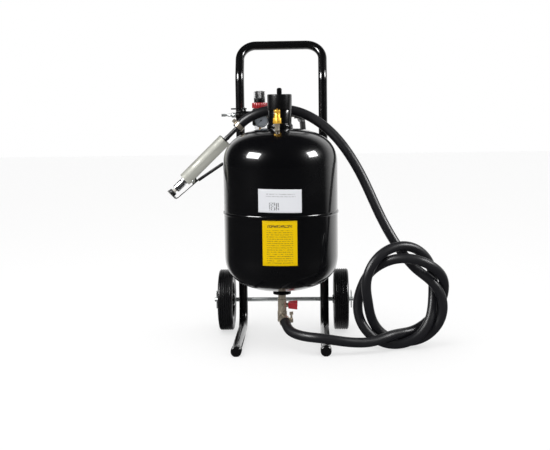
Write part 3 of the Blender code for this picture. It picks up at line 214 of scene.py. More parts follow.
def make_grain():
    """Fine surface texture: two sizes of noise on the object's own coordinates, as a normal and as a
    mask that varies slowly over the piece."""
    tree, enter, leave = group_tree(
        "fine_grain",
        [("Scale", 400.0), ("Strength", 0.2), ("Depth", 0.0002), ("Patch Scale", 14.0)],
        [("Normal", "NodeSocketVector"), ("Patches", "NodeSocketFloat")],
    )
    where = tree.nodes.new("ShaderNodeTexCoord")
    fine = tree.nodes.new("ShaderNodeTexNoise")
    fine.inputs["Detail"].default_value = 4.0
    patch = tree.nodes.new("ShaderNodeTexNoise")
    patch.inputs["Detail"].default_value = 3.0
    bump = tree.nodes.new("ShaderNodeBump")
    link = tree.links.new
    link(where.outputs["Object"], fine.inputs["Vector"])
    link(where.outputs["Object"], patch.inputs["Vector"])
    link(enter.outputs["Scale"], fine.inputs["Scale"])
    link(enter.outputs["Patch Scale"], patch.inputs["Scale"])
    link(fine.outputs["Fac"], bump.inputs["Height"])
    link(enter.outputs["Strength"], bump.inputs["Strength"])
    link(enter.outputs["Depth"], bump.inputs["Distance"])
    link(bump.outputs["Normal"], leave.inputs["Normal"])
    link(patch.outputs["Fac"], leave.inputs["Patches"])
    return tree


GRAIN = make_grain()


def give_grain(made, scale, strength, depth, patch_scale, rough_low, rough_high):
    """Adds the fine grain to a material, and lets its roughness drift between two values."""
    nodes = made.node_tree.nodes
    shader = nodes["Principled BSDF"]
    grain = nodes.new("ShaderNodeGroup")
    grain.node_tree = GRAIN
    grain.inputs["Scale"].default_value = scale
    grain.inputs["Strength"].default_value = strength
    grain.inputs["Depth"].default_value = depth
    grain.inputs["Patch Scale"].default_value = patch_scale
    spread = nodes.new("ShaderNodeMapRange")
    spread.inputs["From Min"].default_value = 0.35
    spread.inputs["From Max"].default_value = 0.65
    spread.inputs["To Min"].default_value = rough_low
    spread.inputs["To Max"].default_value = rough_high
    wire(made, grain, "Normal", shader, "Normal")
    wire(made, grain, "Patches", spread, "Value")
    wire(made, spread, "Result", shader, "Roughness")
    return grain


lead = GUN_END + UP_GUN * np.array((0.0, 0.013, 0.026))[:, None]
hose_knots = np.vstack([lead, HOSE_ROUTE, TEE_END + TAIL * 0.020, TEE_END])
hose_line = flowing_line(hose_knots, 900)
hose = carried("blast_hose_rubber", hose_line, ring_section(HOSE_R, 28), lean=(0.1, 1.0, 0.25))
hose_rubber = material_of("blast_hose_rubber", (0.010, 0.010, 0.013), 0.38, specular=0.45)
give_grain(hose_rubber, 900.0, 0.25, 0.0003, 9.0, 0.33, 0.46)
hose.data.materials.append(hose_rubber)
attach(hose, "root")
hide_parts("blast_hose")

# ---- Tank ----
# Two deep-drawn steel shells welded round the middle and painted gloss black. The ends are nearly
# elliptical, and a narrow weld bead stands out round the joint.
TANK_R = 0.153
HEAD_H = 0.100
HEAD_POWER = 2.5
TANK_TOP, TANK_BOTTOM, GIRTH_Z = 0.587, 0.150, 0.3625
WALL = 0.003


def head_curve(hole_r, count):
    """Radius and rise of a drawn end: cosine and sine of an even angle, each raised to two over the
    power, from the hole's edge down to the rim."""
    start = math.acos(min(1.0, (hole_r / TANK_R) ** (HEAD_POWER / 2)))
    angle = np.linspace(start, 0, count)
    return TANK_R * np.cos(angle) ** (2 / HEAD_POWER), HEAD_H * np.sin(angle) ** (2 / HEAD_POWER)


def turned(name, profile, sides=64, place=FROM_AXIS, ring=False):
    """A profile of (radius, height) points turned about local Z. A ring's profile closes on itself."""
    profile = np.asarray(profile, float)
    if ring:
        profile = np.vstack([profile, profile[:1]])
    turn = np.linspace(0, 2 * np.pi, sides + 1)
    radius, height = profile[:, :1], profile[:, 1:]
    grid = np.stack(np.broadcast_arrays(radius * np.cos(turn), radius * np.sin(turn), height), -1)
    run = np.concatenate([[0.0], np.cumsum(np.linalg.norm(np.diff(profile, axis=0), axis=1))])[:, None]
    return skin(name, grid, (turn * profile[:, 0].max())[None], run, place)


def dress(piece, node, finish):
    """Gives a new piece its finish and the body it belongs to, and hides the solid it stands for."""
    piece.data.materials.clear()
    piece.data.materials.append(finish)
    body = next(name for name, nodes in frame["record"]["behaviour"]["bodies"].items() if node in nodes)
    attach(piece, body)
    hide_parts(node)
    return piece


top_r, top_rise = head_curve(0.0252, 60)
low_r, low_rise = head_curve(0.0137, 60)
upper = np.vstack([
    np.stack([top_r, TANK_TOP - HEAD_H + top_rise], -1),
    [(TANK_R, GIRTH_Z + 0.0002), (TANK_R - WALL, GIRTH_Z + 0.0002)],
    np.stack([top_r - WALL * (top_r / TANK_R), TANK_TOP - HEAD_H + top_rise * 0.97], -1)[::-1],
])
lower = np.vstack([
    np.stack([low_r, TANK_BOTTOM + HEAD_H - low_rise], -1),
    [(TANK_R, GIRTH_Z - 0.0002), (TANK_R - WALL, GIRTH_Z - 0.0002)],
    np.stack([low_r - WALL * (low_r / TANK_R), TANK_BOTTOM + HEAD_H - low_rise * 0.97], -1)[::-1],
])
bead_turn = np.linspace(-0.5 * np.pi, 0.5 * np.pi, 9)
bead = np.stack([TANK_R + 0.0003 + 0.0022 * np.cos(bead_turn), GIRTH_Z + 0.0044 * np.sin(bead_turn)], -1)
gloss_black = material_of("tank_gloss_black", (0.0018, 0.0019, 0.0026), 0.24, coat=1.0, coat_roughness=0.06,
                          specular=0.2)
give_grain(gloss_black, 55.0, 0.05, 0.0006, 5.0, 0.2, 0.3)
TANK_SIDES = 160
for name, node, profile in (("tank_upper_painted", "tank_upper_shell", upper),
                            ("tank_lower_painted", "tank_lower_shell", lower),
                            ("girth_weld_painted", "girth_band", bead)):
    dress(turned(name, profile, TANK_SIDES, ring=True), node, gloss_black)

# ---- Labels ----
# Two printed film labels on the front of the wall. The white one carries thin lines and a block of
# upright bars, and the yellow one a dark heading bar over rows of fine lines.
FILM_OUTER_R = TANK_R + 0.0006
FILM_T = 0.0002


def wrapped_sheet(name, width, height, middle_z, yaw, tilt):
    """A thin sheet on the wall: across is an arc length, up is a height, and the sheet leans by a
    small tilt, up plus tilt times across. The film's thickness is added as a modifier."""
    across, up = np.meshgrid(np.linspace(-width / 2, width / 2, 40),
                             np.linspace(-height / 2, height / 2, 12))
    angle = yaw + across / TANK_R
    z = middle_z + up + tilt * across
    grid = np.stack([FILM_OUTER_R * np.sin(angle), -FILM_OUTER_R * np.cos(angle), z], -1)
    face = skin(name, grid, across, up)
    wall = face.modifiers.new("film", "SOLIDIFY")
    wall.thickness = FILM_T
    wall.offset = -1.0 if face.data.polygons[0].normal.y < 0 else 1.0
    return face


def make_band_mask():
    """One where a coordinate lies between two limits, and zero elsewhere."""
    tree, enter, leave = group_tree(
        "band_mask", [("Value", 0.0), ("Low", 0.0), ("High", 1.0)], [("Mask", "NodeSocketFloat")])
    above = tree.nodes.new("ShaderNodeMath")
    above.operation = "GREATER_THAN"
    below = tree.nodes.new("ShaderNodeMath")
    below.operation = "LESS_THAN"
    both = tree.nodes.new("ShaderNodeMath")
    both.operation = "MULTIPLY"
    link = tree.links.new
    link(enter.outputs["Value"], above.inputs[0])
    link(enter.outputs["Low"], above.inputs[1])
    link(enter.outputs["Value"], below.inputs[0])
    link(enter.outputs["High"], below.inputs[1])
    link(above.outputs[0], both.inputs[0])
    link(below.outputs[0], both.inputs[1])
    link(both.outputs[0], leave.inputs["Mask"])
    return tree


BAND_MASK = make_band_mask()


def print_rows(made, paper, ink, x_limits, y_limits, pitch, share, strength, upright=False):
    """Prints ink rows on a label within limits in metres: a row covers its share of each pitch, and a
    noise breaks it up as words do."""
    nodes = made.node_tree.nodes
    uv = nodes.new("ShaderNodeUVMap")
    uv.uv_map = "surface"
    split = nodes.new("ShaderNodeSeparateXYZ")
    made.node_tree.links.new(uv.outputs[0], split.inputs[0])
    masks = []
    for axis, (low, high) in (("X", x_limits), ("Y", y_limits)):
        band = nodes.new("ShaderNodeGroup")
        band.node_tree = BAND_MASK
        band.inputs["Low"].default_value = low
        band.inputs["High"].default_value = high
        wire(made, split, axis, band, "Value")
        masks.append(band)
    fold = nodes.new("ShaderNodeMath")
    fold.operation = "PINGPONG"
    fold.inputs[1].default_value = pitch / 2
    wire(made, split, "X" if upright else "Y", fold, 0)
    row = nodes.new("ShaderNodeMath")
    row.operation = "LESS_THAN"
    row.inputs[1].default_value = pitch * share / 2
    wire(made, fold, "Value", row, 0)
    words = nodes.new("ShaderNodeTexNoise")
    words.inputs["Scale"].default_value = 260.0
    wire(made, uv, "UV", words, "Vector")
    weight = nodes.new("ShaderNodeMapRange")
    weight.inputs["From Min"].default_value = 0.38
    weight.inputs["From Max"].default_value = 0.55
    weight.inputs["To Max"].default_value = strength
    wire(made, words, "Fac", weight, "Value")
    product = None
    for source, socket in ((masks[0], "Mask"), (masks[1], "Mask"), (row, "Value"), (weight, "Result")):
        if product is None:
            product, product_socket = source, socket
            continue
        times = nodes.new("ShaderNodeMath")
        times.operation = "MULTIPLY"
        wire(made, product, product_socket, times, 0)
        wire(made, source, socket, times, 1)
        product, product_socket = times, "Value"
    mix = nodes.new("ShaderNodeMix")
    mix.data_type = "RGBA"
    if paper is None:
        previous = nodes["Principled BSDF"].inputs["Base Color"].links[0].from_socket
        made.node_tree.links.new(previous, mix.inputs[6])
    else:
        mix.inputs[6].default_value = (*paper, 1.0)
    mix.inputs[7].default_value = (*ink, 1.0)
    wire(made, product, product_socket, mix, 0)
    made.node_tree.links.new(mix.outputs[2], nodes["Principled BSDF"].inputs["Base Color"])


WHITE, YELLOW, INK = (0.72, 0.73, 0.76), (0.76, 0.50, 0.0), (0.02, 0.02, 0.02)
white_film = material_of("white_printed_film", WHITE, 0.5, specular=0.1)
print_rows(white_film, WHITE, INK, (-0.036, 0.040), (0.008, 0.022), 0.0058, 0.4, 0.4)
print_rows(white_film, None, INK, (-0.028, -0.001), (-0.024, -0.004), 0.0045, 0.5, 0.95, upright=True)
yellow_film = material_of("yellow_printed_film", YELLOW, 0.5, specular=0.05)
print_rows(yellow_film, YELLOW, INK, (-0.034, 0.034), (-0.052, 0.034), 0.0056, 0.4, 0.6)
print_rows(yellow_film, None, INK, (-0.032, 0.032), (0.0405, 0.0475), 0.020, 1.0, 0.85)
for made in (white_film, yellow_film):
    grain = made.node_tree.nodes.new("ShaderNodeGroup")
    grain.node_tree = GRAIN
    grain.inputs["Scale"].default_value = 700.0
    grain.inputs["Strength"].default_value = 0.12
    wire(made, grain, "Normal", made.node_tree.nodes["Principled BSDF"], "Normal")
data_film = wrapped_sheet("data_label_film", 0.1135, 0.060, 0.4055, 0.016, -0.025)
dress(data_film, "data_label", white_film)
caution_film = wrapped_sheet("caution_label_film", 0.0905, 0.1165, 0.2965, 0.006, -0.010)
dress(caution_film, "caution_label", yellow_film)

# ---- Filler ----
# A black neck welded on the dome, with a deep screw cap, a rubber seal and a thin lug across the
# cap's top to turn it by.


def finished_copy(name, node, width, segments=2, angle=30):
    """A copy of a solid with its doubles merged and its sharp edges rounded by a small bevel."""
    mesh = frame["nodes"][node].data.copy()
    piece = closed_piece(name, mesh)
    if width:
        bm = bmesh.new()
        bm.from_mesh(mesh)
        bmesh.ops.dissolve_limit(bm, angle_limit=math.radians(1), verts=bm.verts, edges=bm.edges)
        bm.to_mesh(mesh)
        bm.free()
        edges = piece.modifiers.new("rounded edges", "BEVEL")
        edges.width = width
        edges.segments = segments
        edges.limit_method = "ANGLE"
        edges.angle_limit = math.radians(angle)
        edges.harden_normals = True
    return piece


moulding = material_of("gloss_black_moulding", (0.0035, 0.0035, 0.004), 0.3, coat=0.6, coat_roughness=0.1,
                       specular=0.3)
give_grain(moulding, 500.0, 0.1, 0.0002, 20.0, 0.24, 0.36)
plain_rubber = material_of("plain_black_rubber", (0.015, 0.015, 0.016), 0.5)
give_grain(plain_rubber, 900.0, 0.25, 0.0003, 20.0, 0.42, 0.6)
neck = finished_copy("filler_neck_painted", "filler_neck", 0.0008)
dress(neck, "filler_neck", gloss_black)
filler_cap = finished_copy("filler_cap_moulded", "filler_cap", 0.0009, 3)
dress(filler_cap, "filler_cap", moulding)
dress(finished_copy("cap_seal_rubber", "cap_seal", 0.0005), "cap_seal", plain_rubber)

# ---- Safety valve ----
# A brass pressure-relief valve on a short nickel nipple at the front of the dome, with a brass stem
# that carries a button and, behind it, a pull ring.
BRASS_YELLOW, NIPPLE_GREY = (1.0, 0.55, 0.05), (0.50, 0.44, 0.35)
brass = material_of("bright_brass", BRASS_YELLOW, 0.28, metallic=0.45)
give_grain(brass, 700.0, 0.15, 0.0002, 60.0, 0.22, 0.36)
nickel = material_of("warm_nickel", (0.58, 0.51, 0.41), 0.25, metallic=0.65)
give_grain(nickel, 300.0, 0.4, 0.0006, 45.0, 0.14, 0.34)
NIPPLE_TOP = 0.600
two_metal = material_of("brass_on_nickel_nipple", BRASS_YELLOW, 0.28, metallic=0.45)
metal_nodes = two_metal.node_tree.nodes
spot = metal_nodes.new("ShaderNodeTexCoord")
level_of = metal_nodes.new("ShaderNodeSeparateXYZ")
wire(two_metal, spot, "Object", level_of, 0)
above = metal_nodes.new("ShaderNodeMapRange")
above.inputs["From Min"].default_value = NIPPLE_TOP - 0.0004
above.inputs["From Max"].default_value = NIPPLE_TOP
wire(two_metal, level_of, "Z", above, "Value")
metal = metal_nodes.new("ShaderNodeMix")
metal.data_type = "RGBA"
metal.inputs[6].default_value = (*NIPPLE_GREY, 1.0)
metal.inputs[7].default_value = (*BRASS_YELLOW, 1.0)
wire(two_metal, above, "Result", metal, 0)
two_metal.node_tree.links.new(metal.outputs[2], metal_nodes["Principled BSDF"].inputs["Base Color"])
give_grain(two_metal, 700.0, 0.15, 0.0002, 60.0, 0.22, 0.36)
valve_body = finished_copy("safety_valve_brass", "safety_valve_body", 0.0006)
dress(valve_body, "safety_valve_body", two_metal)
valve_stem = finished_copy("safety_valve_pull_stem", "safety_valve_stem", 0.0004)
dress(valve_stem, "safety_valve_stem", brass)

# ---- Trolley frame ----
# One 25 mm steel tube bent into two feet, two legs and a handle that leans back, in gloss black. Flat
# bars welded between the legs carry the tank, and moulded caps close the feet.
TUBE_R, HALF_TRACK, FRAME_Y, FOOT_Z = 0.0125, 0.117, 0.1705, 0.01365
frame_paint = material_of("frame_gloss_black", (0.003, 0.003, 0.0035), 0.22, coat=0.8, coat_roughness=0.08,
                          specular=0.3)
give_grain(frame_paint, 90.0, 0.08, 0.0006, 8.0, 0.18, 0.28)


def bent_line(corners, radii, steps=14):
    """Straight runs joined by arcs: at a corner, the arc's middle lies on the bisector at radius over
    the sine of half the angle, and its points blend the two tangent directions by sine weights."""
    corners = np.asarray(corners, float)
    run = [corners[:1]]
    for corner, before, after, radius in zip(corners[1:-1], corners[:-2], corners[2:], radii):
        a = (before - corner) / np.linalg.norm(before - corner)
        b = (after - corner) / np.linalg.norm(after - corner)
        half = math.acos(float(np.clip(a @ b, -1, 1))) / 2
        middle = corner + (a + b) / np.linalg.norm(a + b) * radius / math.sin(half)
        first = corner + a * radius / math.tan(half) - middle
        last = corner + b * radius / math.tan(half) - middle
        sweep = math.pi - 2 * half
        t = np.linspace(0, 1, steps)[:, None]
        run.append(middle + (np.sin((1 - t) * sweep) * first + np.sin(t * sweep) * last) / math.sin(sweep))
    return np.vstack([*run, corners[-1:]])


left_foot = [(-HALF_TRACK, -0.1525, FOOT_Z), (-HALF_TRACK, FRAME_Y, FOOT_Z), (-HALF_TRACK, FRAME_Y, 0.727),
             (-HALF_TRACK, 0.220, 0.814)]
corners = left_foot + [(-x, y, z) for x, y, z in reversed(left_foot)]
frame_line = bent_line(corners, (0.055, 0.060, 0.045, 0.045, 0.060, 0.055))
frame_bar = carried("frame_tube_painted", frame_line, ring_section(TUBE_R, 32), lean=(1.0, 0.31, -0.17))
dress(frame_bar, "frame_tube", frame_paint)
for side in ("left", "right"):
    cap = finished_copy(f"{side}_foot_cap_moulded", f"{side}_foot_cap", 0.0006)
    dress(cap, f"{side}_foot_cap", moulding)
for level in ("lower", "upper"):
    bar = finished_copy(f"{level}_cross_bar_painted", f"{level}_cross_bar", 0.0004)
    dress(bar, f"{level}_cross_bar", gloss_black)

# ---- Axle and wheels ----
# A bright zinc-plated bar through both legs. Each wheel is a solid grooved tyre on a moulded rim with
# five broad webs, held between washers by a spring hairpin.
WHEEL_R, TYRE_W, WHEEL_X, RIM_R, HUB_R, HUB_HALF = 0.0875, 0.042, 0.1645, 0.056, 0.017, 0.022
zinc = material_of("bright_zinc", (0.50, 0.52, 0.52), 0.3, metallic=0.6)
give_grain(zinc, 350.0, 0.15, 0.0003, 30.0, 0.2, 0.4)
tyre_rubber = material_of("tyre_rubber", (0.006, 0.006, 0.007), 0.4, specular=0.5)
give_grain(tyre_rubber, 600.0, 0.25, 0.0004, 25.0, 0.24, 0.4)
dress(finished_copy("axle_zinc", "axle", 0.0004), "axle", zinc)
for side in ("left", "right"):
    for where in ("inner", "outer"):
        washer = finished_copy(f"{side}_{where}_washer_zinc", f"{side}_{where}_washer", 0.0003)
        dress(washer, f"{side}_{where}_washer", zinc)
    dress(finished_copy(f"{side}_hairpin_wire", f"{side}_hairpin", 0.0), f"{side}_hairpin", zinc)


def wheel_profile(points, groove_middles, groove_half, depth):
    """A tyre's half outline with a rounded groove, depth times one plus cosine over two, cut in its
    tread at each middle."""
    tread = np.linspace(0.0155, -0.0155, 90)
    dip = np.zeros_like(tread)
    for middle in groove_middles:
        near = np.clip(np.abs(tread - middle) / groove_half, 0, 1)
        dip += depth * (1 + np.cos(np.pi * near)) / 2
    head = np.asarray(points, float)
    return np.vstack([head, np.stack([WHEEL_R - dip, tread], -1), (head * (1, -1))[::-1]])


half = TYRE_W / 2
shoulder = [(RIM_R + 0.0003, half - 0.003), (RIM_R + 0.006, half - 0.0022), (RIM_R + 0.008, half - 0.001),
            (RIM_R + 0.018, half), (WHEEL_R - 0.009, half), (WHEEL_R - 0.004, half - 0.0008),
            (WHEEL_R - 0.0012, half - 0.003)]
tread_profile = wheel_profile(shoulder, (0.0125, 0.0063, 0.0, -0.0063, -0.0125), 0.0017, 0.0019)
for side, sign in (("left", -1), ("right", 1)):
    hub = FROM_AXIS @ Matrix.Translation((sign * WHEEL_X, FRAME_Y, WHEEL_R))
    stand = hub @ Matrix.Rotation(math.pi / 2, 4, "Y")
    tyre = turned(f"{side}_tyre_grooved", tread_profile, 96, stand, ring=True)
    dress(tyre, f"{side}_tyre", tyre_rubber)
    lip = half - 0.0022
    face = [(0.0061, HUB_HALF), (HUB_R - 0.002, HUB_HALF), (HUB_R, HUB_HALF - 0.002), (HUB_R + 0.001, 0.006)]
    web = [(r, 0.005) for r in np.linspace(HUB_R + 0.003, RIM_R - 0.008, 12)]
    edge = [(RIM_R - 0.005, 0.007), (RIM_R - 0.0042, lip - 0.001), (RIM_R - 0.003, lip), (RIM_R, lip)]
    outline = np.array(face + web + edge)
    outline = np.vstack([outline, (outline * (1, -1))[::-1], outline[:1]])
    turn = np.linspace(0, 2 * np.pi, 121)
    radius, height = outline[:, :1], outline[:, 1:]
    inside = np.clip((radius - HUB_R - 0.002) / 0.004, 0, 1)
    inside = inside * np.clip((RIM_R - 0.006 - radius) / 0.004, 0, 1)
    rib = np.clip((np.cos(5 * turn)[None] - 0.55) / 0.2, 0, 1)
    height = height * (1 + 1.7 * inside * rib)
    grid = np.stack(np.broadcast_arrays(radius * np.cos(turn), radius * np.sin(turn), height), -1)
    run = np.arange(len(outline))[:, None] * 0.003
    rim = skin(f"{side}_rim_webbed", grid, (turn * RIM_R)[None], run, stand)
    dress(rim, f"{side}_rim", moulding)

# ---- Outlet ----
# Under the tank, a threaded boss takes a nickel-plated nipple and ball valve with a red wing handle.
# A mixing tee below it sends abrasive and air into the blast hose, held by a worm-drive clamp.
red = material_of("red_moulding", (0.50, 0.006, 0.016), 0.35, coat=0.5, coat_roughness=0.12)
give_grain(red, 500.0, 0.15, 0.0002, 30.0, 0.3, 0.42)
boss = finished_copy("outlet_boss_painted", "outlet_boss", 0.0006)
dress(boss, "outlet_boss", gloss_black)
for node in ("outlet_nipple", "outlet_valve_body", "mixing_tee", "tee_hose_clamp", "gun_hose_clamp",
             "air_manifold"):
    dress(finished_copy(f"{node}_plated", node, 0.0004), node, nickel)
wings = finished_copy("outlet_valve_wings", "outlet_valve_handle", 0.0007)
dress(wings, "outlet_valve_handle", red)
for node in ("outlet_valve_ball", "handle_nut", "inlet_plug", "inlet_valve_ball", "lever_pin",
             "lever_spring"):
    dress(finished_copy(f"{node}_bright", node, 0.0), node, zinc)

# ---- Air line ----
# A quick-fit plug and a small ball valve at the left feed a filter-regulator. Its ribbed knob stands
# over a red lock ring, and a dial gauge faces forwards. A manifold carries air to the tank and round
# a black elbow into the by-pass hose.
REG_X, LINE_Y = -0.058, 0.100
RING_R, RING_LOW, RING_H = 0.0212, 0.6383, 0.015
KNOB_R, KNOB_LOW, KNOB_HIGH = 0.0155, 0.6538, 0.6855
REGULATOR = FROM_AXIS @ Matrix.Translation((REG_X, LINE_Y, 0.0))


def ribbed(name, profile, ribs, depth, place, sides):
    """A turned profile whose radius dips between ribs: radius less depth times one less the fourth
    power of the cosine of half the rib angle, where the profile's third number allows it."""
    profile = np.asarray(profile, float)
    turn = np.linspace(0, 2 * np.pi, sides + 1)
    dip = depth * (1 - np.cos(ribs * turn / 2) ** 4)[None]
    radius = profile[:, :1] - profile[:, 2:] * dip
    grid = np.stack(np.broadcast_arrays(radius * np.cos(turn), radius * np.sin(turn), profile[:, 1:2]), -1)
    run = np.concatenate([[0.0], np.cumsum(np.linalg.norm(np.diff(profile[:, :2], axis=0), axis=1))])[:, None]
    return skin(name, grid, (turn * profile[:, 0].max())[None], run, place)


knob_profile = [(0, KNOB_HIGH, 0), (KNOB_R - 0.006, KNOB_HIGH, 0), (KNOB_R - 0.0058, KNOB_HIGH - 0.0006, 0),
                (KNOB_R - 0.003, KNOB_HIGH - 0.0006, 0), (KNOB_R - 0.0015, KNOB_HIGH - 0.001, 0.5),
                (KNOB_R - 0.0005, KNOB_HIGH - 0.003, 1), (KNOB_R, KNOB_LOW + 0.012, 1),
                (KNOB_R, KNOB_LOW + 0.0112, 0),
                (KNOB_R, KNOB_LOW, 0), (0.0102, KNOB_LOW, 0), (0.0102, KNOB_LOW - 0.0142, 0),
                (0.004, KNOB_LOW - 0.0142, 0), (0.004, KNOB_LOW - 0.0215, 0), (0, KNOB_LOW - 0.0215, 0)]
knob = ribbed("regulator_knob_ribbed", knob_profile, 30, 0.0011, REGULATOR, 240)
dress(knob, "regulator_knob", moulding)
ring_top = RING_LOW + RING_H
ring_profile = [(0.0106, ring_top, 0), (RING_R - 0.0015, ring_top, 0), (RING_R, ring_top - 0.0012, 1),
                (RING_R, RING_LOW + 0.0015, 1), (RING_R - 0.0015, RING_LOW, 0), (0.0106, RING_LOW, 0),
                (0.0106, ring_top, 0)]
lock_ring = ribbed("regulator_ring_ribbed", ring_profile, 24, 0.0009, REGULATOR, 192)
dress(lock_ring, "regulator_ring", red)
for node in ("regulator_body", "inlet_valve_body", "inlet_valve_lever", "bypass_elbow", "gauge_case"):
    width = 0.0 if node == "bypass_elbow" else 0.0008
    dress(finished_copy(f"{node}_moulded", node, width), node, moulding)
dress(finished_copy("filter_drain_brass", "filter_drain", 0.0003), "filter_drain", brass)
clear = material_of("clear_moulding", (0.9, 0.93, 0.95), 0.05)
clear.node_tree.nodes["Principled BSDF"].inputs["Alpha"].default_value = 0.12
give_grain(clear, 300.0, 0.02, 0.0001, 20.0, 0.03, 0.08)
dress(finished_copy("filter_bowl_clear", "filter_bowl", 0.0004), "filter_bowl", clear)
dress(finished_copy("gauge_lens_clear", "gauge_lens", 0.0), "gauge_lens", clear)

DIAL_X, DIAL_Y, DIAL_Z, DIAL_R = -0.053, 0.077, 0.605, 0.0174
DIAL_CENTRE = Vector((DIAL_X, DIAL_Y, DIAL_Z))
DIAL_STAND = FROM_AXIS @ Matrix.Translation(DIAL_CENTRE) @ Matrix.Rotation(math.pi / 2, 4, "X")
DIAL_FRONT, DIAL_BACK, DIAL_HOLE_R = 0.0085, 0.0068, 0.0015
dial_profile = [(DIAL_HOLE_R, DIAL_FRONT), (DIAL_R, DIAL_FRONT), (DIAL_R, DIAL_BACK),
                (DIAL_HOLE_R, DIAL_BACK)]
dial_face = turned("gauge_dial_card", dial_profile, 64, DIAL_STAND, ring=True)
CARD_WHITE = (0.72, 0.79, 0.90)
card = material_of("dial_card", CARD_WHITE, 0.5)
nodes = card.node_tree.nodes
centre = nodes.new("ShaderNodeTexCoord")
shift = nodes.new("ShaderNodeVectorMath")
shift.operation = "SUBTRACT"
shift.inputs[1].default_value = tuple(AXIS + DIAL_CENTRE)
wire(card, centre, "Object", shift, 0)
parts = nodes.new("ShaderNodeSeparateXYZ")
wire(card, shift, "Vector", parts, 0)
turn_of = nodes.new("ShaderNodeMath")
turn_of.operation = "ARCTAN2"
wire(card, parts, "X", turn_of, 0)
wire(card, parts, "Z", turn_of, 1)
ticks = nodes.new("ShaderNodeMath")
ticks.operation = "PINGPONG"
ticks.inputs[1].default_value = math.radians(7.5)
wire(card, turn_of, "Value", ticks, 0)
thin = nodes.new("ShaderNodeMath")
thin.operation = "LESS_THAN"
thin.inputs[1].default_value = 0.03
wire(card, ticks, "Value", thin, 0)
flat = nodes.new("ShaderNodeVectorMath")
flat.operation = "MULTIPLY"
flat.inputs[1].default_value = (1.0, 0.0, 1.0)
wire(card, shift, "Vector", flat, 0)
reach = nodes.new("ShaderNodeVectorMath")
reach.operation = "LENGTH"
wire(card, flat, "Vector", reach, 0)
outer = nodes.new("ShaderNodeGroup")
outer.node_tree = BAND_MASK
outer.inputs["Low"].default_value = 0.0125
outer.inputs["High"].default_value = 0.0155
wire(card, reach, "Value", outer, "Value")
marks = nodes.new("ShaderNodeMath")
marks.operation = "MULTIPLY"
wire(card, outer, "Mask", marks, 0)
wire(card, thin, "Value", marks, 1)
inked = nodes.new("ShaderNodeMix")
inked.data_type = "RGBA"
inked.inputs[6].default_value = (*CARD_WHITE, 1.0)
inked.inputs[7].default_value = (0.02, 0.02, 0.03, 1.0)
wire(card, marks, "Value", inked, 0)
card.node_tree.links.new(inked.outputs[2], nodes["Principled BSDF"].inputs["Base Color"])
dress(dial_face, "gauge_dial", card)
dress(finished_copy("gauge_needle_black", "gauge_needle", 0.0), "gauge_needle", moulding)

ELBOW = np.array((0.053, LINE_Y, 0.620))
ELBOW_END = np.array((0.057, LINE_Y + 0.017, 0.607))
leave = (ELBOW_END - ELBOW) / np.linalg.norm(ELBOW_END - ELBOW)
start = ELBOW_END + leave * 0.0003
back_y = FRAME_Y + 0.002
bypass_knots = np.array([
    tuple(start), tuple(start + leave * 0.012), (0.060, 0.148, 0.586), (0.062, 0.166, 0.562),
    (0.063, back_y, 0.530), (0.063, back_y, 0.450), (0.062, back_y, 0.360), (0.052, back_y, 0.285),
    (0.028, back_y, 0.222), (0.006, 0.160, 0.182), (-0.003, 0.138, 0.150), (-0.003, 0.110, 0.121),
    (-0.002, 0.080, 0.097), (0.0, 0.054, 0.081),
    (0.0, 0.0338, TEE_CENTRE[2]), (0.0, 0.0198, TEE_CENTRE[2])])
BYPASS_R = 0.008
bypass_line = flowing_line(bypass_knots, 160)
bypass = carried("bypass_hose_rubber", bypass_line, ring_section(BYPASS_R, 24), lean=(1.0, 0.2, 0.1))
dress(bypass, "bypass_hose", plain_rubber)

# ---- Blast gun ----
# A cast grip shaped as a channel holds the pipe from the hose. A bent steel lever pivots at its front
# and carries the rubber pad that closes the ceramic nozzle in its turned aluminium holder.
cast = material_of("matt_cast_grey", (0.36, 0.36, 0.32), 0.55, metallic=0.25)
give_grain(cast, 420.0, 0.45, 0.0006, 18.0, 0.45, 0.65)
bright = material_of("turned_aluminium", (0.72, 0.73, 0.75), 0.25, metallic=1.0)
give_grain(bright, 600.0, 0.15, 0.0002, 40.0, 0.18, 0.34)
black_pipe = material_of("black_oxide_pipe", (0.012, 0.012, 0.014), 0.35)
give_grain(black_pipe, 400.0, 0.2, 0.0002, 25.0, 0.28, 0.44)
ceramic = material_of("nozzle_ceramic", (0.75, 0.72, 0.66), 0.55)
give_grain(ceramic, 800.0, 0.2, 0.0002, 60.0, 0.5, 0.65)
dress(finished_copy("gun_pipe_black", "gun_pipe", 0.0), "gun_pipe", black_pipe)
dress(finished_copy("gun_grip_cast", "gun_grip", 0.0008), "gun_grip", cast)
holder = finished_copy("nozzle_holder_turned", "nozzle_holder", 0.0003)
dress(holder, "nozzle_holder", bright)
dress(finished_copy("nozzle_ceramic_tip", "nozzle", 0.0003), "nozzle", ceramic)
dress(finished_copy("shutoff_pad_rubber", "shutoff_pad", 0.0008), "shutoff_pad", plain_rubber)
sleeve = material_of("lever_vinyl_and_steel", (0.012, 0.012, 0.014), 0.4)
sleeve_nodes = sleeve.node_tree.nodes
here = sleeve_nodes.new("ShaderNodeTexCoord")
side_of = sleeve_nodes.new("ShaderNodeVectorMath")
side_of.operation = "DOT_PRODUCT"
side_of.inputs[1].default_value = (-math.cos(GUN_TILT), 0.0, -math.sin(GUN_TILT))
wire(sleeve, here, "Object", side_of, 0)
start_along = -(AXIS.x + GUN_END[0]) * math.cos(GUN_TILT) - GUN_END[2] * math.sin(GUN_TILT)
BARE_FROM = 0.172
bare = sleeve_nodes.new("ShaderNodeMapRange")
bare.inputs["From Min"].default_value = start_along + BARE_FROM
bare.inputs["From Max"].default_value = start_along + BARE_FROM + 0.001
wire(sleeve, side_of, "Value", bare, "Value")
tone = sleeve_nodes.new("ShaderNodeMix")
tone.data_type = "RGBA"
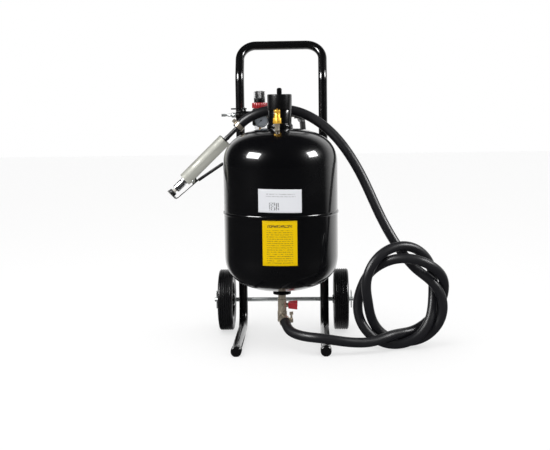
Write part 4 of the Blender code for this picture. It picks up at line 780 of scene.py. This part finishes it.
tone.inputs[6].default_value = (0.012, 0.012, 0.014, 1.0)
tone.inputs[7].default_value = (0.24, 0.24, 0.23, 1.0)
wire(sleeve, bare, "Result", tone, 0)
sleeve.node_tree.links.new(tone.outputs[2], sleeve_nodes["Principled BSDF"].inputs["Base Color"])
wire(sleeve, bare, "Result", sleeve_nodes["Principled BSDF"], "Metallic")
give_grain(sleeve, 500.0, 0.2, 0.0002, 25.0, 0.32, 0.48)
dress(finished_copy("gun_lever_sleeved", "gun_lever", 0.0004), "gun_lever", sleeve)
GUN_PLACE = FROM_AXIS @ Matrix.Translation(GUN_END) @ Matrix.Rotation(math.pi - GUN_TILT, 4, "Y")
along = np.linspace(0, 1, 24)
sleeve_x, sleeve_z = 0.094 + 0.079 * along, 0.0416 - 0.0150 * along
sleeve_line = np.stack([sleeve_x, np.zeros(24), sleeve_z], -1)
turn = np.linspace(0, 2 * np.pi, 48, endpoint=False)
pad_section = np.stack([
    0.0115 * np.sign(np.cos(turn)) * np.abs(np.cos(turn)) ** 0.4,
    0.0042 * np.sign(np.sin(turn)) * np.abs(np.sin(turn)) ** 0.6], -1)
sheath = carried("gun_lever_vinyl_sheath", sleeve_line, pad_section, lean=(0.0, 1.0, 0.0), place=GUN_PLACE)
vinyl = material_of("black_vinyl", (0.008, 0.008, 0.010), 0.4)
give_grain(vinyl, 800.0, 0.2, 0.0002, 25.0, 0.34, 0.5)
sheath.data.materials.append(vinyl)
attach(sheath, "gun_lever")

# ---- Light and floor ----
# A pale sweep of floor, pale surroundings behind and at the sides, and a dark room behind the camera
# that the tank's paint mirrors. Two soft boxes stand in front, and one hangs overhead.
floor = bpy.data.objects.new("floor", bpy.data.meshes.new("floor"))
floor.data.from_pydata([(-9, -9, 0), (9, -9, 0), (9, 9, 0), (-9, 9, 0)], [], [(0, 1, 2, 3)])
bpy.context.scene.collection.objects.link(floor)
pale = material_of("pale_floor", (0.95, 0.95, 0.95), 0.7, specular=0.1)
floor_nodes = pale.node_tree.nodes
ground = floor_nodes.new("ShaderNodeTexCoord")
heading = floor_nodes.new("ShaderNodeVectorMath")
heading.operation = "NORMALIZE"
wire(pale, ground, "Object", heading, 0)
behind = floor_nodes.new("ShaderNodeVectorMath")
behind.operation = "DOT_PRODUCT"
behind.inputs[1].default_value = (0.25, 1.0, 0.0)
wire(pale, heading, "Vector", behind, 0)
lit_side = floor_nodes.new("ShaderNodeMapRange")
lit_side.inputs["From Min"].default_value = 0.40
lit_side.inputs["From Max"].default_value = 0.72
lit_side.inputs["To Min"].default_value = 0.02
lit_side.inputs["To Max"].default_value = 0.90
wire(pale, behind, "Value", lit_side, "Value")
ray = floor_nodes.new("ShaderNodeLightPath")
shade = floor_nodes.new("ShaderNodeMix")
shade.inputs[2].default_value = 0.95
wire(pale, ray, "Is Glossy Ray", shade, 0)
wire(pale, lit_side, "Result", shade, 3)
wire(pale, shade, "Result", floor_nodes["Principled BSDF"], "Emission Color")
floor_nodes["Principled BSDF"].inputs["Emission Strength"].default_value = 0.68
dimmer = floor_nodes.new("ShaderNodeMath")
dimmer.operation = "MULTIPLY"
dimmer.inputs[1].default_value = 0.34
wire(pale, shade, "Result", dimmer, 0)
wire(pale, dimmer, "Value", floor_nodes["Principled BSDF"], "Base Color")
floor.data.materials.append(pale)
world = bpy.data.worlds.new("studio")
bpy.context.scene.world = world
world.use_nodes = True
sky = world.node_tree
back = sky.nodes["Background"]
where = sky.nodes.new("ShaderNodeTexCoord")
fade = sky.nodes.new("ShaderNodeMapRange")
fade.inputs["From Min"].default_value = 0.40
fade.inputs["From Max"].default_value = 0.72
fade.inputs["To Min"].default_value = 0.006
fade.inputs["To Max"].default_value = 0.9
seen = sky.nodes.new("ShaderNodeLightPath")
choose = sky.nodes.new("ShaderNodeMix")
mirror = sky.nodes.new("ShaderNodeMix")
mirror.inputs[2].default_value = 0.97
choose.inputs[3].default_value = 1.0
lean_back = sky.nodes.new("ShaderNodeVectorMath")
lean_back.operation = "DOT_PRODUCT"
lean_back.inputs[1].default_value = (0.25, 1.0, -0.3)
sky.links.new(where.outputs["Generated"], lean_back.inputs[0])
sky.links.new(lean_back.outputs["Value"], fade.inputs["Value"])
sky.links.new(seen.outputs["Is Glossy Ray"], mirror.inputs[0])
sky.links.new(fade.outputs["Result"], mirror.inputs[3])
sky.links.new(seen.outputs["Is Camera Ray"], choose.inputs[0])
sky.links.new(mirror.outputs[0], choose.inputs[2])
sky.links.new(choose.outputs[0], back.inputs["Strength"])
back.inputs["Color"].default_value = (1.0, 1.0, 1.0, 1.0)


def soft_box(name, at, towards, width, height, power, mirrored):
    """A rectangular area light that faces a point. It is either mirrored in gloss or lights matt
    surfaces."""
    light = bpy.data.objects.new(name, bpy.data.lights.new(name, "AREA"))
    light.data.shape = "RECTANGLE"
    light.data.size = width
    light.data.size_y = height
    light.data.energy = power
    light.location = AXIS + Vector(at)
    light.rotation_euler = (Vector(at) - Vector(towards)).to_track_quat("Z", "Y").to_euler()
    light.visible_glossy = mirrored
    light.visible_diffuse = not mirrored
    bpy.context.scene.collection.objects.link(light)


soft_box("left_box", (-1.82, -1.2, 1.62), (0, 0, 0.45), 1.15, 0.80, 92, True)
soft_box("right_box", (2.1, -0.6, 1.58), (0, 0, 0.45), 0.90, 0.70, 56, True)
soft_box("top_box", (-0.4, -0.6, 2.8), (0, 0, 0.2), 1.6, 1.6, 22, False)
